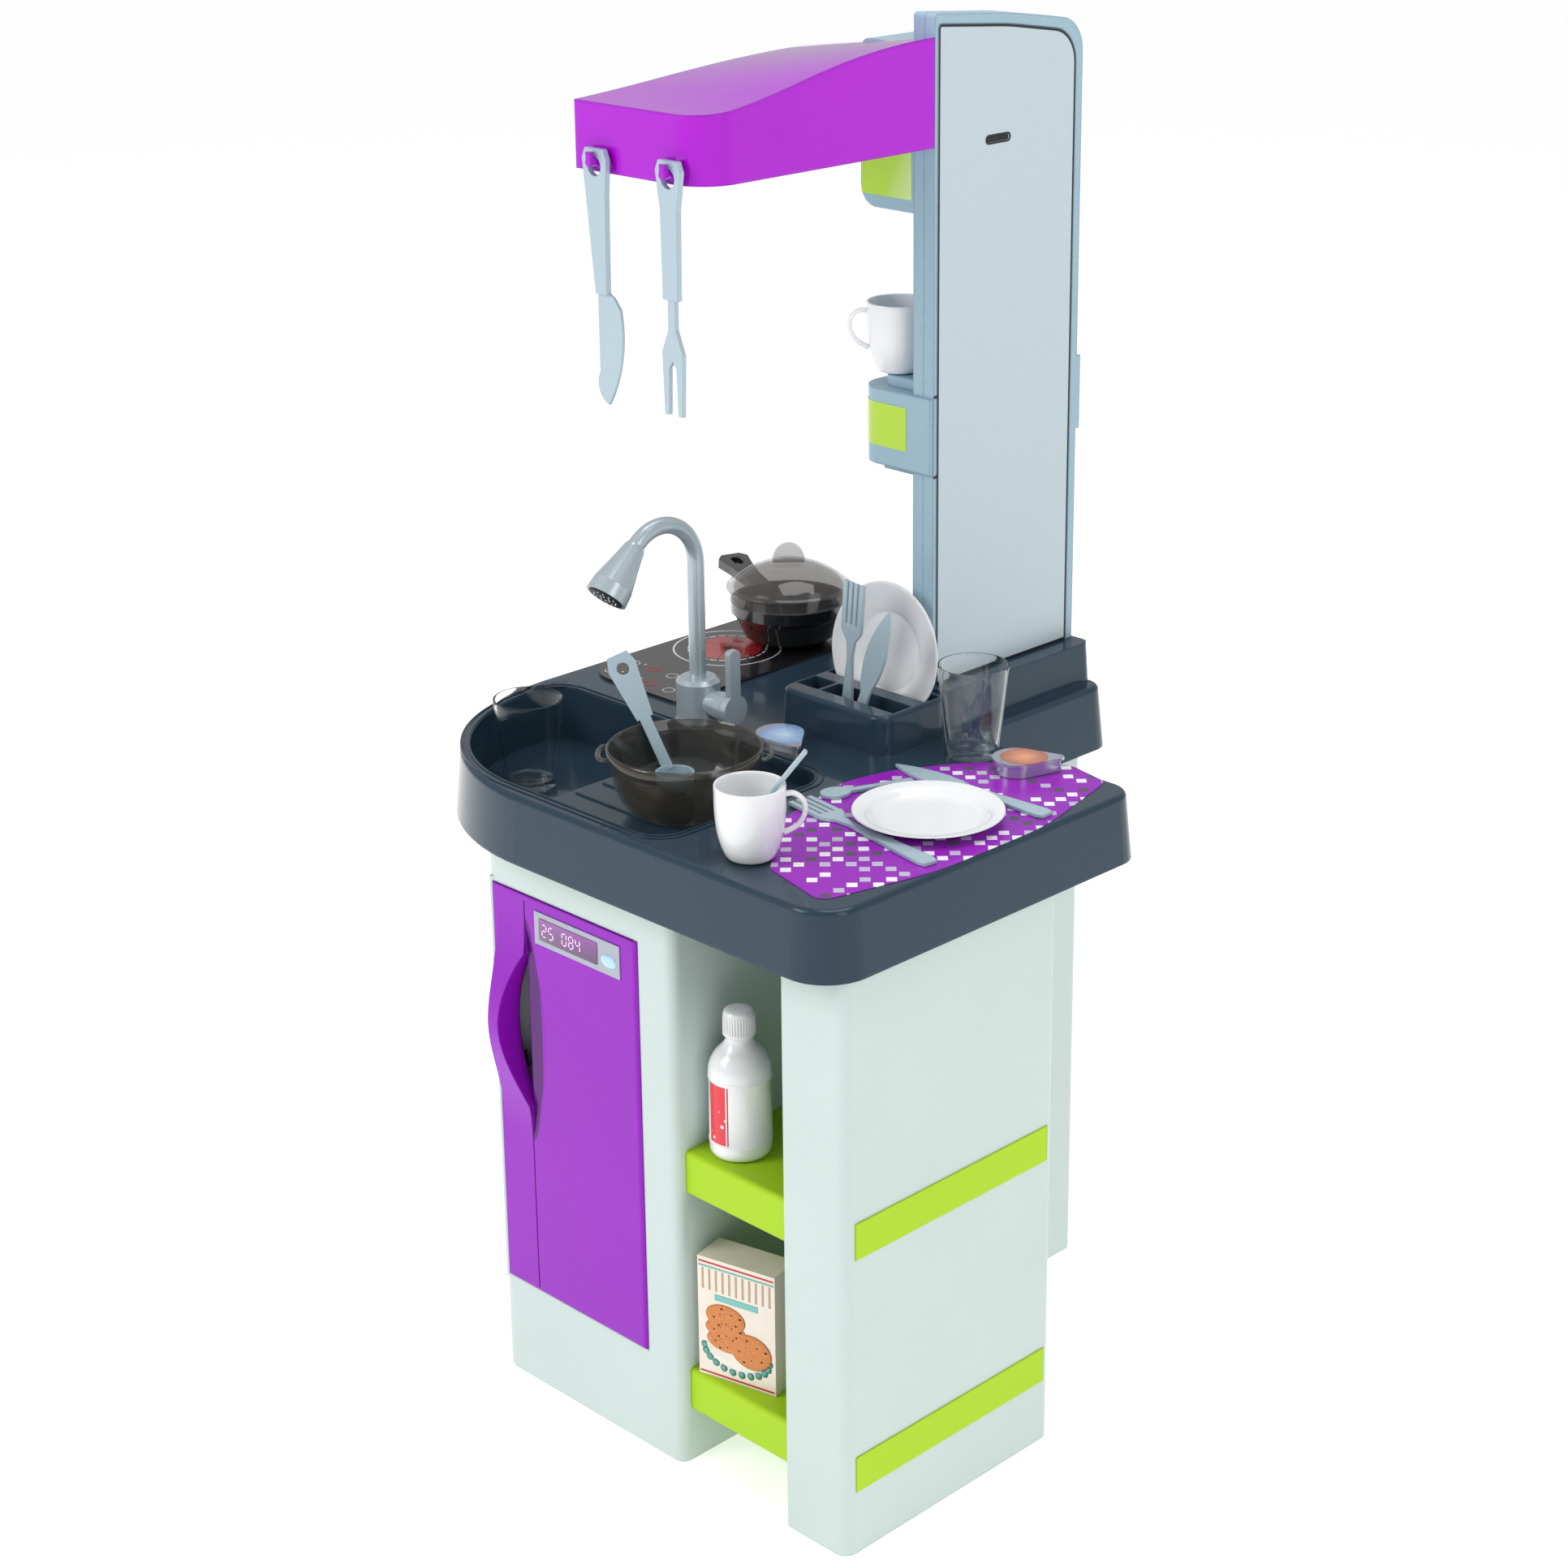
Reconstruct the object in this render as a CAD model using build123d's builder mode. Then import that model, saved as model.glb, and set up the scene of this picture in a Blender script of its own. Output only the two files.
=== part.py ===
"""Toy kitchen: cabinet with fridge and oven, worktop with sink and hob, tower with hood, and its accessories.

Millimetres. +Z is up, -Y is the fridge side and +X is the table side. The origin is on the floor, midway
between the worktop's edges. Each sub-part is built in its own block and written to parts/NAME.step.
"""
import os
from math import cos, pi, radians, sin

from build123d import *

os.makedirs("parts", exist_ok=True)

# ---------------------------------------------------------------- driving dimensions
WORKTOP_WIDTH = 488.0
WORKTOP_DEPTH = 474.0
WORKTOP_HEIGHT = 482.0
SKIRT_DROP = 49.0
SKIRT_TAPER = 5.8  # degrees
DECK = 4.0
SINK_CORNER_R = 180.0
TABLE_CORNER_R = 35.0
TABLE_BACK_GAP = 156.0  # worktop back edge to the table's back edge
TABLE_REACH = 158.0  # how far the table stands out past the back part

BOWL_DEPTH = 42.0
DRAINBOARD_DEPTH = 14.0
BASIN_WALL = 3.0
SINK_RIM = 20.0
SINK_LENGTH = 288.0
SINK_WIDTH = 160.0
BOWL_LENGTH = 150.0

TOWER_HEIGHT = 487.0
TOWER_DEPTH = 157.0
TOWER_THICKNESS = 20.0
TOWER_WALL = 3.0
PLINTH_HEIGHT = 31.0

CABINET_WIDTH = 202.0
CABINET_DEPTH = 430.0
CABINET_WALL = 3.0
COLUMN_WIDTH = 60.0
COLUMN_DEPTH = 213.0
NICHE_WIDTH = 103.0
TABLE_OVERHANG = 8.0
FRONT_OVERHANG = 22.0

DOOR_THICKNESS = 8.0
DOOR_GAP = 1.0
FRIDGE_WIDTH = 155.5
FRIDGE_HEIGHT = 320.0
FRIDGE_BASE = 79.0
FRIDGE_DEPTH = 140.0
OVEN_WIDTH = 212.0
OVEN_HEIGHT = 182.0
OVEN_BASE = 214.0
OVEN_DEPTH = 150.0
LINER_WALL = 2.5
HINGE_PIN_R = 2.0

SHELF_LIP = 32.0
UPPER_SHELF_TOP = 248.0
LOWER_SHELF_TOP = 75.0
STRIPE_HEIGHT = 27.0

HOOD_WIDTH = 125.0
HOOD_DEPTH = 219.0
HOOD_WALL = 3.0
HOOD_SIDE_HEIGHT = 46.0

PIPE_R = 6.3
ARCH_R = 34.0

RUNNING_CLEARANCE = 0.05  # shafts and pins that turn in a hole
REST_GAP = 0.3  # loose pieces above what they stand on

# ---------------------------------------------------------------- places worked out from them
left, right = -WORKTOP_WIDTH / 2, WORKTOP_WIDTH / 2
front, back = -WORKTOP_DEPTH / 2, WORKTOP_DEPTH / 2
top = WORKTOP_HEIGHT
skirt_bottom = top - SKIRT_DROP
table_back = back - TABLE_BACK_GAP
notch_x = right - TABLE_REACH

bowl_floor = top - BOWL_DEPTH
bowl_underside = bowl_floor - BASIN_WALL
drainboard = top - DRAINBOARD_DEPTH
sink_left = left + SINK_RIM + 2
sink_right = sink_left + SINK_LENGTH
sink_front = front + SINK_RIM
sink_back = sink_front + SINK_WIDTH
bowl_right = sink_left + BOWL_LENGTH

column_right = right - TABLE_OVERHANG
column_left = column_right - COLUMN_WIDTH
cabinet_right = column_left - NICHE_WIDTH
cabinet_left = cabinet_right - CABINET_WIDTH
cabinet_front = front + FRONT_OVERHANG
cabinet_back = cabinet_front + CABINET_DEPTH
column_back = cabinet_front + COLUMN_DEPTH
cabinet_top = bowl_underside

tower_right = 49.0
tower_left = tower_right - TOWER_THICKNESS
tower_front = 71.0
tower_back = tower_front + TOWER_DEPTH
tower_base = top + PLINTH_HEIGHT
tower_top = tower_base + TOWER_HEIGHT


# ---------------------------------------------------------------- shared building steps
def save(piece, name):
    """Label a finished piece and write it as its own file."""
    piece.part.label = name
    export_step(piece.part, f"parts/{name}.step")


def block(low, high, mode=Mode.ADD):
    """Add or cut a box between two opposite corners in the part being built."""
    middle = [(a + b) / 2 for a, b in zip(low, high)]
    size = [b - a for a, b in zip(low, high)]
    with Locations(Vector(*middle)):
        Box(*size, mode=mode)


def upright(x, y, z):
    """Vertical plane through a point: sketch x is along +X and sketch y is along +Z."""
    return Plane(origin=(x, y, z), x_dir=(1, 0, 0), z_dir=(0, -1, 0))


def rounded_face(points, radii):
    """Closed outline through corner points, each with its own corner radius, in the sketch being built."""
    with BuildLine() as outline:
        FilletPolyline(*points, radius=radii, close=True)
    make_face(outline.edges())


def turned(points, place):
    """Round piece: a closed profile of (radius, height) points turned about a vertical axis."""
    with BuildPart() as piece:
        with BuildSketch(upright(*place)):
            with BuildLine():
                Polyline(*points, close=True)
            make_face()
        revolve(axis=Axis(place, (0, 0, 1)))
    return piece


# ================================================================ left cabinet
hinge_r = DOOR_THICKNESS / 2
fridge_right = cabinet_right - 33.5
fridge_left = fridge_right - FRIDGE_WIDTH
fridge_top = FRIDGE_BASE + FRIDGE_HEIGHT
oven_back = cabinet_back - 30.0
oven_front = oven_back - OVEN_WIDTH
oven_top = OVEN_BASE + OVEN_HEIGHT
frame_depth = DOOR_THICKNESS + 3.0
frame_wall = 3.0
boss_size = 7.0
fridge_pin_x = fridge_right - DOOR_GAP - hinge_r
fridge_pin_y = cabinet_front + hinge_r - 1.0
oven_pin_x = cabinet_left + hinge_r - 1.0
oven_pin_z = OVEN_BASE + DOOR_GAP + hinge_r
pin_reach = 9.0

with BuildPart() as left_cabinet:
    with BuildSketch():
        rounded_face(
            [(cabinet_left, cabinet_front), (cabinet_right, cabinet_front),
             (cabinet_right, cabinet_back), (cabinet_left, cabinet_back)],
            [18, 8, 8, 12],
        )
    extrude(amount=cabinet_top)
    offset(amount=-CABINET_WALL, openings=left_cabinet.faces().sort_by(Axis.Z)[-1])
    # frames round the two door openings, with a boss for each hinge pin
    block((fridge_left - frame_wall, cabinet_front, FRIDGE_BASE - frame_wall),
          (fridge_right + frame_wall, cabinet_front + frame_depth, fridge_top + frame_wall))
    for z in (FRIDGE_BASE - frame_wall - boss_size, fridge_top + frame_wall):
        block((fridge_pin_x - boss_size, cabinet_front, z),
              (fridge_right + frame_wall, cabinet_front + frame_depth, z + boss_size))
    block((cabinet_left, oven_front - frame_wall, OVEN_BASE - frame_wall),
          (cabinet_left + frame_depth, oven_back + frame_wall, oven_top + frame_wall))
    for y in (oven_front - frame_wall - boss_size, oven_back + frame_wall):
        block((cabinet_left, y, OVEN_BASE - frame_wall),
              (cabinet_left + frame_depth, y + boss_size, oven_pin_z + boss_size))
    block((fridge_left, cabinet_front - 1, FRIDGE_BASE),
          (fridge_right, cabinet_front + frame_depth + 1, fridge_top), Mode.SUBTRACT)
    block((cabinet_left - 1, oven_front, OVEN_BASE),
          (cabinet_left + frame_depth + 1, oven_back, oven_top), Mode.SUBTRACT)
    for z in (FRIDGE_BASE, fridge_top):
        with Locations((fridge_pin_x, fridge_pin_y, z)):
            Cylinder(HINGE_PIN_R + RUNNING_CLEARANCE, 2 * pin_reach, mode=Mode.SUBTRACT)
    for y in (oven_front, oven_back):
        with Locations(Location((oven_pin_x, y, oven_pin_z), (90, 0, 0))):
            Cylinder(HINGE_PIN_R + RUNNING_CLEARANCE, 2 * pin_reach, mode=Mode.SUBTRACT)
save(left_cabinet, "left_cabinet")

# Shallow panel on the cabinet's back, held by screws at its corners
BACK_PANEL = 3.0
panel_edge = 14.0
screw_inset = 12.0
screw_r = 2.0
screw_pitch_x = CABINET_WIDTH - 2 * (panel_edge + screw_inset)
screw_pitch_z = (cabinet_top - 2 * (panel_edge + screw_inset)) / 2
with BuildPart() as cabinet_back_panel:
    with BuildSketch(Plane.XZ.offset(-cabinet_back)):
        with Locations(((cabinet_left + cabinet_right) / 2, cabinet_top / 2)):
            RectangleRounded(CABINET_WIDTH - 2 * panel_edge, cabinet_top - 2 * panel_edge, 6)
    extrude(amount=-BACK_PANEL)
    with BuildSketch(Plane.XZ.offset(-cabinet_back)):
        with Locations(((cabinet_left + cabinet_right) / 2, cabinet_top / 2)):
            with GridLocations(screw_pitch_x, screw_pitch_z, 2, 3):
                Circle(screw_r)
    extrude(amount=-BACK_PANEL, mode=Mode.SUBTRACT)
save(cabinet_back_panel, "cabinet_back_panel")

with BuildPart() as back_panel_screws:
    with BuildSketch(Plane.XZ.offset(-cabinet_back)):
        with Locations(((cabinet_left + cabinet_right) / 2, cabinet_top / 2)):
            with GridLocations(screw_pitch_x, screw_pitch_z, 2, 3):
                Circle(screw_r)
    extrude(amount=-BACK_PANEL)
    with BuildSketch(Plane.XZ.offset(-cabinet_back - BACK_PANEL)):
        with Locations(((cabinet_left + cabinet_right) / 2, cabinet_top / 2)):
            with GridLocations(screw_pitch_x, screw_pitch_z, 2, 3):
                Circle(2 * screw_r)
    extrude(amount=-1.6)
save(back_panel_screws, "back_panel_screws")

# ---------------------------------------------------------------- fridge: liner and shelf
liner_lip = 5.0  # how far the liner's flange shows inside the door opening
liner_front = cabinet_front + frame_depth
cavity_low = (fridge_left + liner_lip, liner_front, FRIDGE_BASE + liner_lip)
cavity_high = (fridge_right - liner_lip - 4, liner_front + FRIDGE_DEPTH, fridge_top - liner_lip)
with BuildPart() as fridge_liner:
    block((fridge_left - frame_wall, liner_front, FRIDGE_BASE - frame_wall),
          (fridge_right + frame_wall, liner_front + LINER_WALL, fridge_top + frame_wall))
    block([v - LINER_WALL for v in cavity_low[:1]] + [liner_front, cavity_low[2] - LINER_WALL],
          [v + LINER_WALL for v in cavity_high])
    block((cavity_low[0], liner_front - 1, cavity_low[2]), cavity_high, Mode.SUBTRACT)
save(fridge_liner, "fridge_liner")

shelf_z = FRIDGE_BASE + 0.52 * FRIDGE_HEIGHT
with BuildPart() as fridge_shelf:
    block((cavity_low[0], liner_front + 8, shelf_z), (cavity_high[0], cavity_high[1], shelf_z + 2.5))
    block((cavity_low[0], liner_front + 8, shelf_z), (cavity_high[0], liner_front + 11, shelf_z + 14))
save(fridge_shelf, "fridge_shelf")

# ---------------------------------------------------------------- fridge door
door_low_x, door_high_x = fridge_left + DOOR_GAP, fridge_right - DOOR_GAP
door_low_z, door_high_z = FRIDGE_BASE + DOOR_GAP, fridge_top - DOOR_GAP
door_front = fridge_pin_y - hinge_r
door_rear = fridge_pin_y + hinge_r
groove_x = door_low_x + 35.0
GRIP_HEIGHT = 122.0
GRIP_BULGE = 13.0
GRIP_RUN = 90.0  # half the length over which the grip bows out
grip_z = door_low_z + 212.0
with BuildPart() as fridge_door:
    block((door_low_x, door_front, door_low_z), (fridge_pin_x, door_rear, door_high_z))
    with Locations((fridge_pin_x, fridge_pin_y, (door_low_z + door_high_z) / 2)):
        Cylinder(hinge_r, door_high_z - door_low_z)
    # grip: a strip left of the groove that bows out past the door's face
    with BuildSketch(Plane.YZ.offset(door_low_x + 4)):
        with BuildLine():
            Spline((door_front, grip_z - GRIP_RUN), (door_front - GRIP_BULGE, grip_z),
                   (door_front, grip_z + GRIP_RUN), tangents=((0, 1), (0, 1)))
            Line((door_front, grip_z + GRIP_RUN), (door_front, grip_z - GRIP_RUN))
        make_face()
    extrude(amount=groove_x - door_low_x - 4)
    # finger opening behind and beside the grip, lens-shaped seen from the front
    with BuildSketch(Plane.XZ.offset(-door_rear)):
        with BuildLine():
            ThreePointArc((groove_x, grip_z - GRIP_HEIGHT / 2), (groove_x - 20, grip_z),
                          (groove_x, grip_z + GRIP_HEIGHT / 2))
            Line((groove_x, grip_z + GRIP_HEIGHT / 2), (groove_x, grip_z - GRIP_HEIGHT / 2))
        make_face()
    extrude(amount=DOOR_THICKNESS + GRIP_BULGE + 5, mode=Mode.SUBTRACT)
    # finger scoop in the face right of the groove
    with BuildSketch(Plane.XZ.offset(-door_front)):
        with BuildLine():
            ThreePointArc((groove_x, grip_z - (GRIP_RUN - 5)), (groove_x + 17, grip_z),
                          (groove_x, grip_z + (GRIP_RUN - 5)))
            Line((groove_x, grip_z + (GRIP_RUN - 5)), (groove_x, grip_z - (GRIP_RUN - 5)))
        make_face()
    extrude(amount=-1.5, mode=Mode.SUBTRACT)
    block((groove_x - 0.6, door_front - 1, door_low_z + 2),
          (groove_x + 0.6, door_front + 1.2, door_high_z - 4), Mode.SUBTRACT)
    for z in (door_low_z, door_high_z):
        with Locations((fridge_pin_x, fridge_pin_y, z)):
            Cylinder(HINGE_PIN_R, 2 * pin_reach, mode=Mode.SUBTRACT)
save(fridge_door, "fridge_door")

with BuildPart() as fridge_hinge_pins:
    for z in (door_low_z, door_high_z):
        with Locations((fridge_pin_x, fridge_pin_y, z)):
            Cylinder(HINGE_PIN_R, 2 * (pin_reach - 1.5))
save(fridge_hinge_pins, "fridge_hinge_pins")

# ---------------------------------------------------------------- fridge display on the door
display_left, display_right = door_low_x + 46.5, door_high_x - 16.5
display_low, display_high = door_high_z - 33.0, door_high_z - 8.0
DISPLAY_PROUD = 0.8
with BuildPart() as fridge_display:
    block((display_left, door_front - DISPLAY_PROUD, display_low), (display_right, door_front, display_high))
save(fridge_display, "fridge_display")

# ---------------------------------------------------------------- oven: liner, rack, door
oven_liner_x = cabinet_left + frame_depth
oven_low = (oven_liner_x, oven_front + liner_lip, OVEN_BASE + liner_lip + 4)
oven_high = (oven_liner_x + OVEN_DEPTH, oven_back - liner_lip, oven_top - liner_lip)
with BuildPart() as oven_liner:
    block((oven_liner_x, oven_front - frame_wall, OVEN_BASE - frame_wall),
          (oven_liner_x + LINER_WALL, oven_back + frame_wall, oven_top + frame_wall))
    block((oven_liner_x, oven_low[1] - LINER_WALL, oven_low[2] - LINER_WALL),
          [v + LINER_WALL for v in oven_high])
    block((oven_liner_x - 1, oven_low[1], oven_low[2]), oven_high, Mode.SUBTRACT)
save(oven_liner, "oven_liner")

rack_z = oven_low[2] + 62.0
wire = 3.0
rack_front, rack_rear = oven_low[0] + 10, oven_high[0]
with BuildPart() as oven_rack:
    block((rack_front, oven_low[1], rack_z), (rack_front + wire, oven_high[1], rack_z + wire))
    block((rack_rear - wire, oven_low[1], rack_z), (rack_rear, oven_high[1], rack_z + wire))
    for i in range(9):
        y = oven_low[1] + i * (oven_high[1] - oven_low[1] - wire) / 8
        block((rack_front, y, rack_z), (rack_rear, y + wire, rack_z + wire))
save(oven_rack, "oven_rack")

oven_door_front = oven_pin_x - hinge_r
oven_door_rear = oven_pin_x + hinge_r
oven_door_low = (oven_front + DOOR_GAP, OVEN_BASE + DOOR_GAP)
oven_door_high = (oven_back - DOOR_GAP, oven_top - DOOR_GAP)
window_edge = 26.0
window_low = (oven_door_low[0] + window_edge, oven_door_low[1] + window_edge)
window_high = (oven_door_high[0] - window_edge, oven_door_high[1] - window_edge - 14)
with BuildPart() as oven_door:
    block((oven_door_front, oven_door_low[0], oven_pin_z), (oven_door_rear, oven_door_high[0], oven_door_high[1]))
    with Locations(Location((oven_pin_x, (oven_front + oven_back) / 2, oven_pin_z), (90, 0, 0))):
        Cylinder(hinge_r, oven_door_high[0] - oven_door_low[0])
    block((oven_door_front - 1, window_low[0], window_low[1]),
          (oven_door_rear + 1, window_high[0], window_high[1]), Mode.SUBTRACT)
    for y in (oven_door_low[0], oven_door_high[0]):
        with Locations(Location((oven_pin_x, y, oven_pin_z), (90, 0, 0))):
            Cylinder(HINGE_PIN_R, 2 * pin_reach, mode=Mode.SUBTRACT)
save(oven_door, "oven_door")

with BuildPart() as oven_window:
    block((oven_pin_x - 1.5, window_low[0], window_low[1]), (oven_pin_x + 1.5, window_high[0], window_high[1]))
save(oven_window, "oven_window")

with BuildPart() as oven_hinge_pins:
    for y in (oven_door_low[0], oven_door_high[0]):
        with Locations(Location((oven_pin_x, y, oven_pin_z), (90, 0, 0))):
            Cylinder(HINGE_PIN_R, 2 * (pin_reach - 1.5))
save(oven_hinge_pins, "oven_hinge_pins")

bar_r = 5.0
bar_out = 20.0
bar_z = oven_door_high[1] - 18.0
with BuildPart() as oven_handle:
    with Locations(Location((oven_door_front - bar_out, (oven_front + oven_back) / 2, bar_z), (90, 0, 0))):
        Cylinder(bar_r, OVEN_WIDTH - 60)
    for y in (oven_front + 45, oven_back - 45):
        block((oven_door_front - bar_out, y - 4, bar_z - 4), (oven_door_front, y + 4, bar_z + 4))
save(oven_handle, "oven_handle")

# ================================================================ right column, niche and shelves
with BuildPart() as right_column:
    with BuildSketch():
        rounded_face(
            [(column_left, cabinet_front), (column_right, cabinet_front),
             (column_right, column_back), (column_left, column_back)],
            [6, 10, 10, 6],
        )
    extrude(amount=cabinet_top)
    offset(amount=-CABINET_WALL, openings=right_column.faces().sort_by(Axis.Z)[-1])
save(right_column, "right_column")

STRIPE_PROUD = 1.0
with BuildPart() as side_stripes:
    for z in (LOWER_SHELF_TOP - 26, UPPER_SHELF_TOP - 21):
        block((column_right, cabinet_front + 10, z), (column_right + STRIPE_PROUD, column_back - 10, z + STRIPE_HEIGHT))
save(side_stripes, "side_stripes")

NICHE_PANEL = 4.0
with BuildPart() as niche_back_panel:
    block((cabinet_right, column_back - 12 - NICHE_PANEL, 0), (column_left, column_back - 12, cabinet_top))
save(niche_back_panel, "niche_back_panel")

niche_rear = column_back - 12 - NICHE_PANEL
shelf_front = cabinet_front + 9
for shelf_name, shelf_top in (("upper_shelf", UPPER_SHELF_TOP), ("lower_shelf", LOWER_SHELF_TOP)):
    with BuildPart() as shelf:
        block((cabinet_right, shelf_front, shelf_top - SHELF_LIP), (column_left, niche_rear, shelf_top))
        fillet(shelf.faces().sort_by(Axis.Y)[0].edges().sort_by(Axis.Z)[-1], 3)
        block((cabinet_right + 3, shelf_front + 3, shelf_top - SHELF_LIP - 1),
              (column_left - 3, niche_rear - 3, shelf_top - 3), Mode.SUBTRACT)
    save(shelf, shelf_name)

# ================================================================ worktop
WORKTOP_OUTLINE = [(left, front), (right, front), (right, table_back),
                   (notch_x, table_back), (notch_x, back), (left, back)]
WORKTOP_RADII = [SINK_CORNER_R, TABLE_CORNER_R, 25, 22, 20, 20]
EDGE_ROUND = 4.0
RIB = 3.0

# raised parts: cutlery holder and tower plinth
holder_left, holder_right = -38.0, notch_x - 14
holder_front, holder_back = tower_front - 77, tower_front - 2
holder_top = top + 30.0
plinth_left, plinth_right = tower_left - 72, tower_right + 19
plinth_front, plinth_back = tower_front - 6, back - 4
slot_left, slot_right = holder_left + 6, holder_right - 6
cutlery_slot_y = (holder_front + 17, holder_front + 37)
plate_slot_y = (holder_front + 50, holder_front + 66)
plate_slot_floor = top + 2.0
cutlery_slot_floor = top - 30.0
slot_divider_x = slot_left + 22.0



def sink_outline(grow=0.0):
    """Outline of the whole sink in the sketch being built, concentric with the worktop's big corner."""
    x0, x1, y0, y1 = sink_left - grow, sink_right + grow, sink_front - grow, sink_back + grow
    corner = SINK_CORNER_R - SINK_RIM - 22 + grow
    rounded_face([(x0, y0), (x1, y0), (x1, y1), (x0, y1)], [corner, 18 + grow, 18 + grow, 18])


def bowl_side_only(grow=0.0):
    """Keep only the deep bowl's side of the outline in the sketch being built."""
    width = bowl_right + grow - left
    with Locations(((left + bowl_right + grow) / 2, (sink_front + sink_back) / 2)):
        Rectangle(width, SINK_WIDTH + 4 * BASIN_WALL, mode=Mode.INTERSECT)


with BuildPart() as worktop:
    with BuildSketch(Plane.XY.offset(skirt_bottom)):
        rounded_face(WORKTOP_OUTLINE, WORKTOP_RADII)
    extrude(amount=SKIRT_DROP, taper=SKIRT_TAPER)
    fillet(worktop.faces().sort_by(Axis.Z)[-1].edges(), EDGE_ROUND)
    with BuildSketch(Plane.XY.offset(skirt_bottom)):
        rounded_face(WORKTOP_OUTLINE, WORKTOP_RADII)
        offset(amount=-DECK, mode=Mode.REPLACE)
    extrude(amount=SKIRT_DROP - DECK, taper=SKIRT_TAPER, mode=Mode.SUBTRACT)
    # basin walls: the deep bowl at the left and the shallow drainboard over the whole sink
    with BuildSketch(Plane.XY.offset(bowl_underside)):
        sink_outline(BASIN_WALL)
        bowl_side_only(BASIN_WALL)
    extrude(amount=BOWL_DEPTH)
    with BuildSketch(Plane.XY.offset(drainboard - BASIN_WALL)):
        sink_outline(BASIN_WALL)
    extrude(amount=DRAINBOARD_DEPTH)
    # ribs that stand on the cabinet's and the column's top edges
    for x in (cabinet_left, cabinet_right - RIB):
        block((x, sink_back + BASIN_WALL, bowl_underside), (x + RIB, cabinet_back - 12, top - DECK))
    block((cabinet_left + 12, cabinet_back - RIB, bowl_underside), (cabinet_right - 12, cabinet_back, top - DECK))
    for x in (column_left, column_right - RIB):
        block((x, front + TABLE_CORNER_R, bowl_underside), (x + RIB, column_back - 12, top - DECK))
    # raised holder for cutlery and a plate, and the tower's plinth
    with BuildSketch(Plane.XY.offset(top - DECK)):
        with Locations(((holder_left + holder_right) / 2, (holder_front + holder_back) / 2)):
            RectangleRounded(holder_right - holder_left, holder_back - holder_front, 14)
    extrude(amount=holder_top - top + DECK, taper=4)
    fillet(worktop.faces().sort_by(Axis.Z)[-1].edges(), 3)
    with BuildSketch(Plane.XY.offset(top - DECK)):
        with Locations(((plinth_left + plinth_right) / 2, (plinth_front + plinth_back) / 2)):
            RectangleRounded(plinth_right - plinth_left, plinth_back - plinth_front, 10)
    extrude(amount=PLINTH_HEIGHT + DECK, taper=4)
    # hollow of the plinth from below, and the slots of the holder from above
    block((plinth_left + 8, plinth_front + 8, top - DECK - 1),
          (plinth_right - 8, plinth_back - 8, tower_base - DECK), Mode.SUBTRACT)
    block((slot_left - RIB, cutlery_slot_y[0] - RIB, cutlery_slot_floor - RIB),
          (slot_right + RIB, cutlery_slot_y[1] + RIB, top - DECK))
    for x0, x1 in ((slot_left, slot_divider_x), (slot_divider_x + RIB, slot_right)):
        block((x0, cutlery_slot_y[0], cutlery_slot_floor), (x1, cutlery_slot_y[1], holder_top + 1), Mode.SUBTRACT)
    block((slot_left, plate_slot_y[0], plate_slot_floor), (slot_right, plate_slot_y[1], holder_top + 1),
          Mode.SUBTRACT)
    # bowl and drainboard hollows
    with BuildSketch(Plane.XY.offset(bowl_floor)):
        sink_outline()
        bowl_side_only()
    extrude(amount=BOWL_DEPTH, mode=Mode.SUBTRACT)
    with BuildSketch(Plane.XY.offset(drainboard)):
        sink_outline()
    extrude(amount=DRAINBOARD_DEPTH + 1, mode=Mode.SUBTRACT)
    # drainboard ridges
    for i in range(6):
        y = sink_front + 16 + i * (SINK_WIDTH - 32) / 5
        block((bowl_right + 6, y - 1, drainboard), (sink_right - 12, y + 1, drainboard + 1.2))
save(worktop, "worktop")

# ---------------------------------------------------------------- hob and its label, placemat label
HOB_THICKNESS = 2.0
hob_left, hob_right = left + 12, left + 122
hob_front, hob_back = back - 264, back - 32
with BuildPart() as hob_plate:
    with BuildSketch(Plane.XY.offset(top)):
        rounded_face([(hob_left, hob_front), (hob_right, hob_front), (hob_right, hob_back), (hob_left, hob_back)],
                     [34, 4, 4, 4])
    extrude(amount=HOB_THICKNESS)
save(hob_plate, "hob_plate")

MAT_THICKNESS = 0.5
with BuildPart() as placemat:
    with BuildSketch(Plane.XY.offset(top)):
        rounded_face(
            [(right - 145, front + 105), (right - 89, front + 37), (right - 28, front + 22), (right - 7, front + 106),
             (right - 7, table_back - 99), (right - 30, table_back - 10), (right - 68, table_back - 2),
             (right - 123, table_back - 44), (right - 153, table_back - 96), (right - 163, front + 182)],
            [6, 12, 10, 200, 200, 10, 12, 120, 60, 60],
        )
    extrude(amount=MAT_THICKNESS)
save(placemat, "placemat")

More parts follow.
